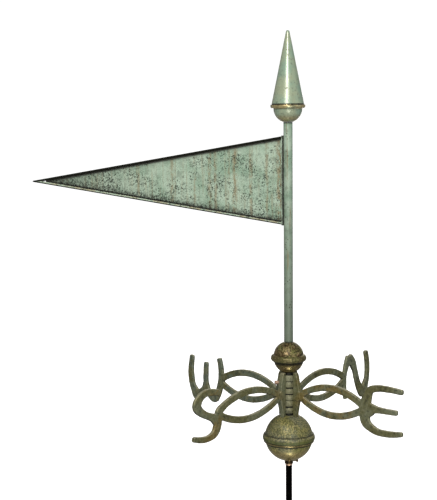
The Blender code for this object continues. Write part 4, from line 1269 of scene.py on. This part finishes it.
class WEATHERVANE_OT_stage(bpy.types.Operator):
    """Set up the floor, the soft studio light and the camera."""
    bl_idname = "weathervane.stage"
    bl_label = "Studio"

    def execute(self, context):
        sizes = settings("stage")
        turned_by = settings("banner").bearing
        self.photo = Matrix.Rotation(turned_by, 4, "Z")
        bpy.ops.object.select_all(action="DESELECT")
        view = (self.photo @ Matrix.Rotation(QUARTER - sizes.tilt, 4, "X")
                @ Matrix.Rotation(sizes.roll, 4, "Z"))
        bpy.ops.object.camera_add(location=CAMERA_PLACE, rotation=view.to_euler())
        camera = bpy.context.object
        camera.name = "photo_camera"
        camera.data.lens = sizes.lens
        camera.data.sensor_width = 36.0
        camera.data.shift_x, camera.data.shift_y = CAMERA_SHIFT
        context.scene.camera = camera
        floor = end(begin("plane", "floor", size=60.0))
        paint = Paint("pale_floor")
        paint.tone = tuple(sizes.floor)
        floor.data.materials.append(paint.finish(0.8, Emission_Color=paint.tone,
                                                 Emission_Strength=1.0))
        floor.visible_diffuse = False
        floor.visible_glossy = False
        for name, place, size, shade in LIGHTS:
            self.light(name + "_light", place, size, getattr(sizes, name), shade)
        self.room(sizes.room)
        context.scene.view_settings.view_transform = "Standard"
        return {"FINISHED"}

    def light(self, name, place, size, power, shade):
        """A square soft light, placed right, ahead and up as the camera sees it."""
        position = self.photo @ Vector(place)
        aim = (Vector(AIM) - position).to_track_quat("-Z", "Y").to_euler()
        bpy.ops.object.light_add(type="AREA", radius=size, location=position, rotation=aim)
        lamp = bpy.context.object
        lamp.name = name
        lamp.visible_camera = False
        lamp.data.energy = power
        lamp.data.color = shade
        lamp.data.size = size

    def room(self, strength):
        """Even grey light all round, with a white background behind the object."""
        world = bpy.data.worlds.new("pale_room")
        bpy.context.scene.world = world
        world.use_nodes = True
        tree = world.node_tree
        dim = tree.nodes["Background"]
        dim.inputs["Color"].default_value = (1.0, 1.0, 1.0, 1.0)
        dim.inputs["Strength"].default_value = strength
        white = tree.nodes.new("ShaderNodeBackground")
        white.inputs["Strength"].default_value = BACKDROP
        white.inputs["Color"].default_value = (1.0, 1.0, 1.0, 1.0)
        rays = tree.nodes.new("ShaderNodeLightPath")
        mix = tree.nodes.new("ShaderNodeMixShader")
        tree.links.new(rays.outputs["Is Camera Ray"], mix.inputs[0])
        tree.links.new(dim.outputs[0], mix.inputs[1])
        tree.links.new(white.outputs[0], mix.inputs[2])
        tree.links.new(mix.outputs[0], tree.nodes["World Output"].inputs["Surface"])


class WEATHERVANE_PT_panel(bpy.types.Panel):
    """The sidebar's list of sizes, finishes and steps."""
    bl_idname = "WEATHERVANE_PT_panel"
    bl_label = "Weathervane"
    bl_space_type = "VIEW_3D"
    bl_region_type = "UI"
    bl_category = "Weathervane"

    def draw(self, context):
        for step in STEPS:
            self.layout.operator(step.bl_idname)
        for name, group in GROUPS.items():
            box = self.layout.box()
            box.label(text=group.__doc__)
            for field in group.__annotations__:
                box.prop(getattr(context.scene, "weathervane_" + name), field)


GROUPS = {"mast": MastSizes, "arms": ArmSizes, "banner": BannerSizes, "finishes": Finishes,
          "stage": StageSettings}
STEPS = (WEATHERVANE_OT_stage, WEATHERVANE_OT_rod, WEATHERVANE_OT_globes,
         WEATHERVANE_OT_directionals, WEATHERVANE_OT_mast, WEATHERVANE_OT_finial,
         WEATHERVANE_OT_banner)


def register():
    """Register the settings, steps and panel."""
    for item in (*GROUPS.values(), *STEPS, WEATHERVANE_PT_panel):
        bpy.utils.register_class(item)
    for name, group in GROUPS.items():
        setattr(bpy.types.Scene, "weathervane_" + name, bpy.props.PointerProperty(type=group))


def unregister():
    """Take the settings, steps and panel away again."""
    for name in GROUPS:
        delattr(bpy.types.Scene, "weathervane_" + name)
    for item in (WEATHERVANE_PT_panel, *reversed(STEPS), *reversed(GROUPS.values())):
        bpy.utils.unregister_class(item)


def main():
    """Build everything in order."""
    register()
    for step in STEPS:
        space, name = step.bl_idname.split(".")
        getattr(getattr(bpy.ops, space), name)()


if __name__ == "__main__":
    main()
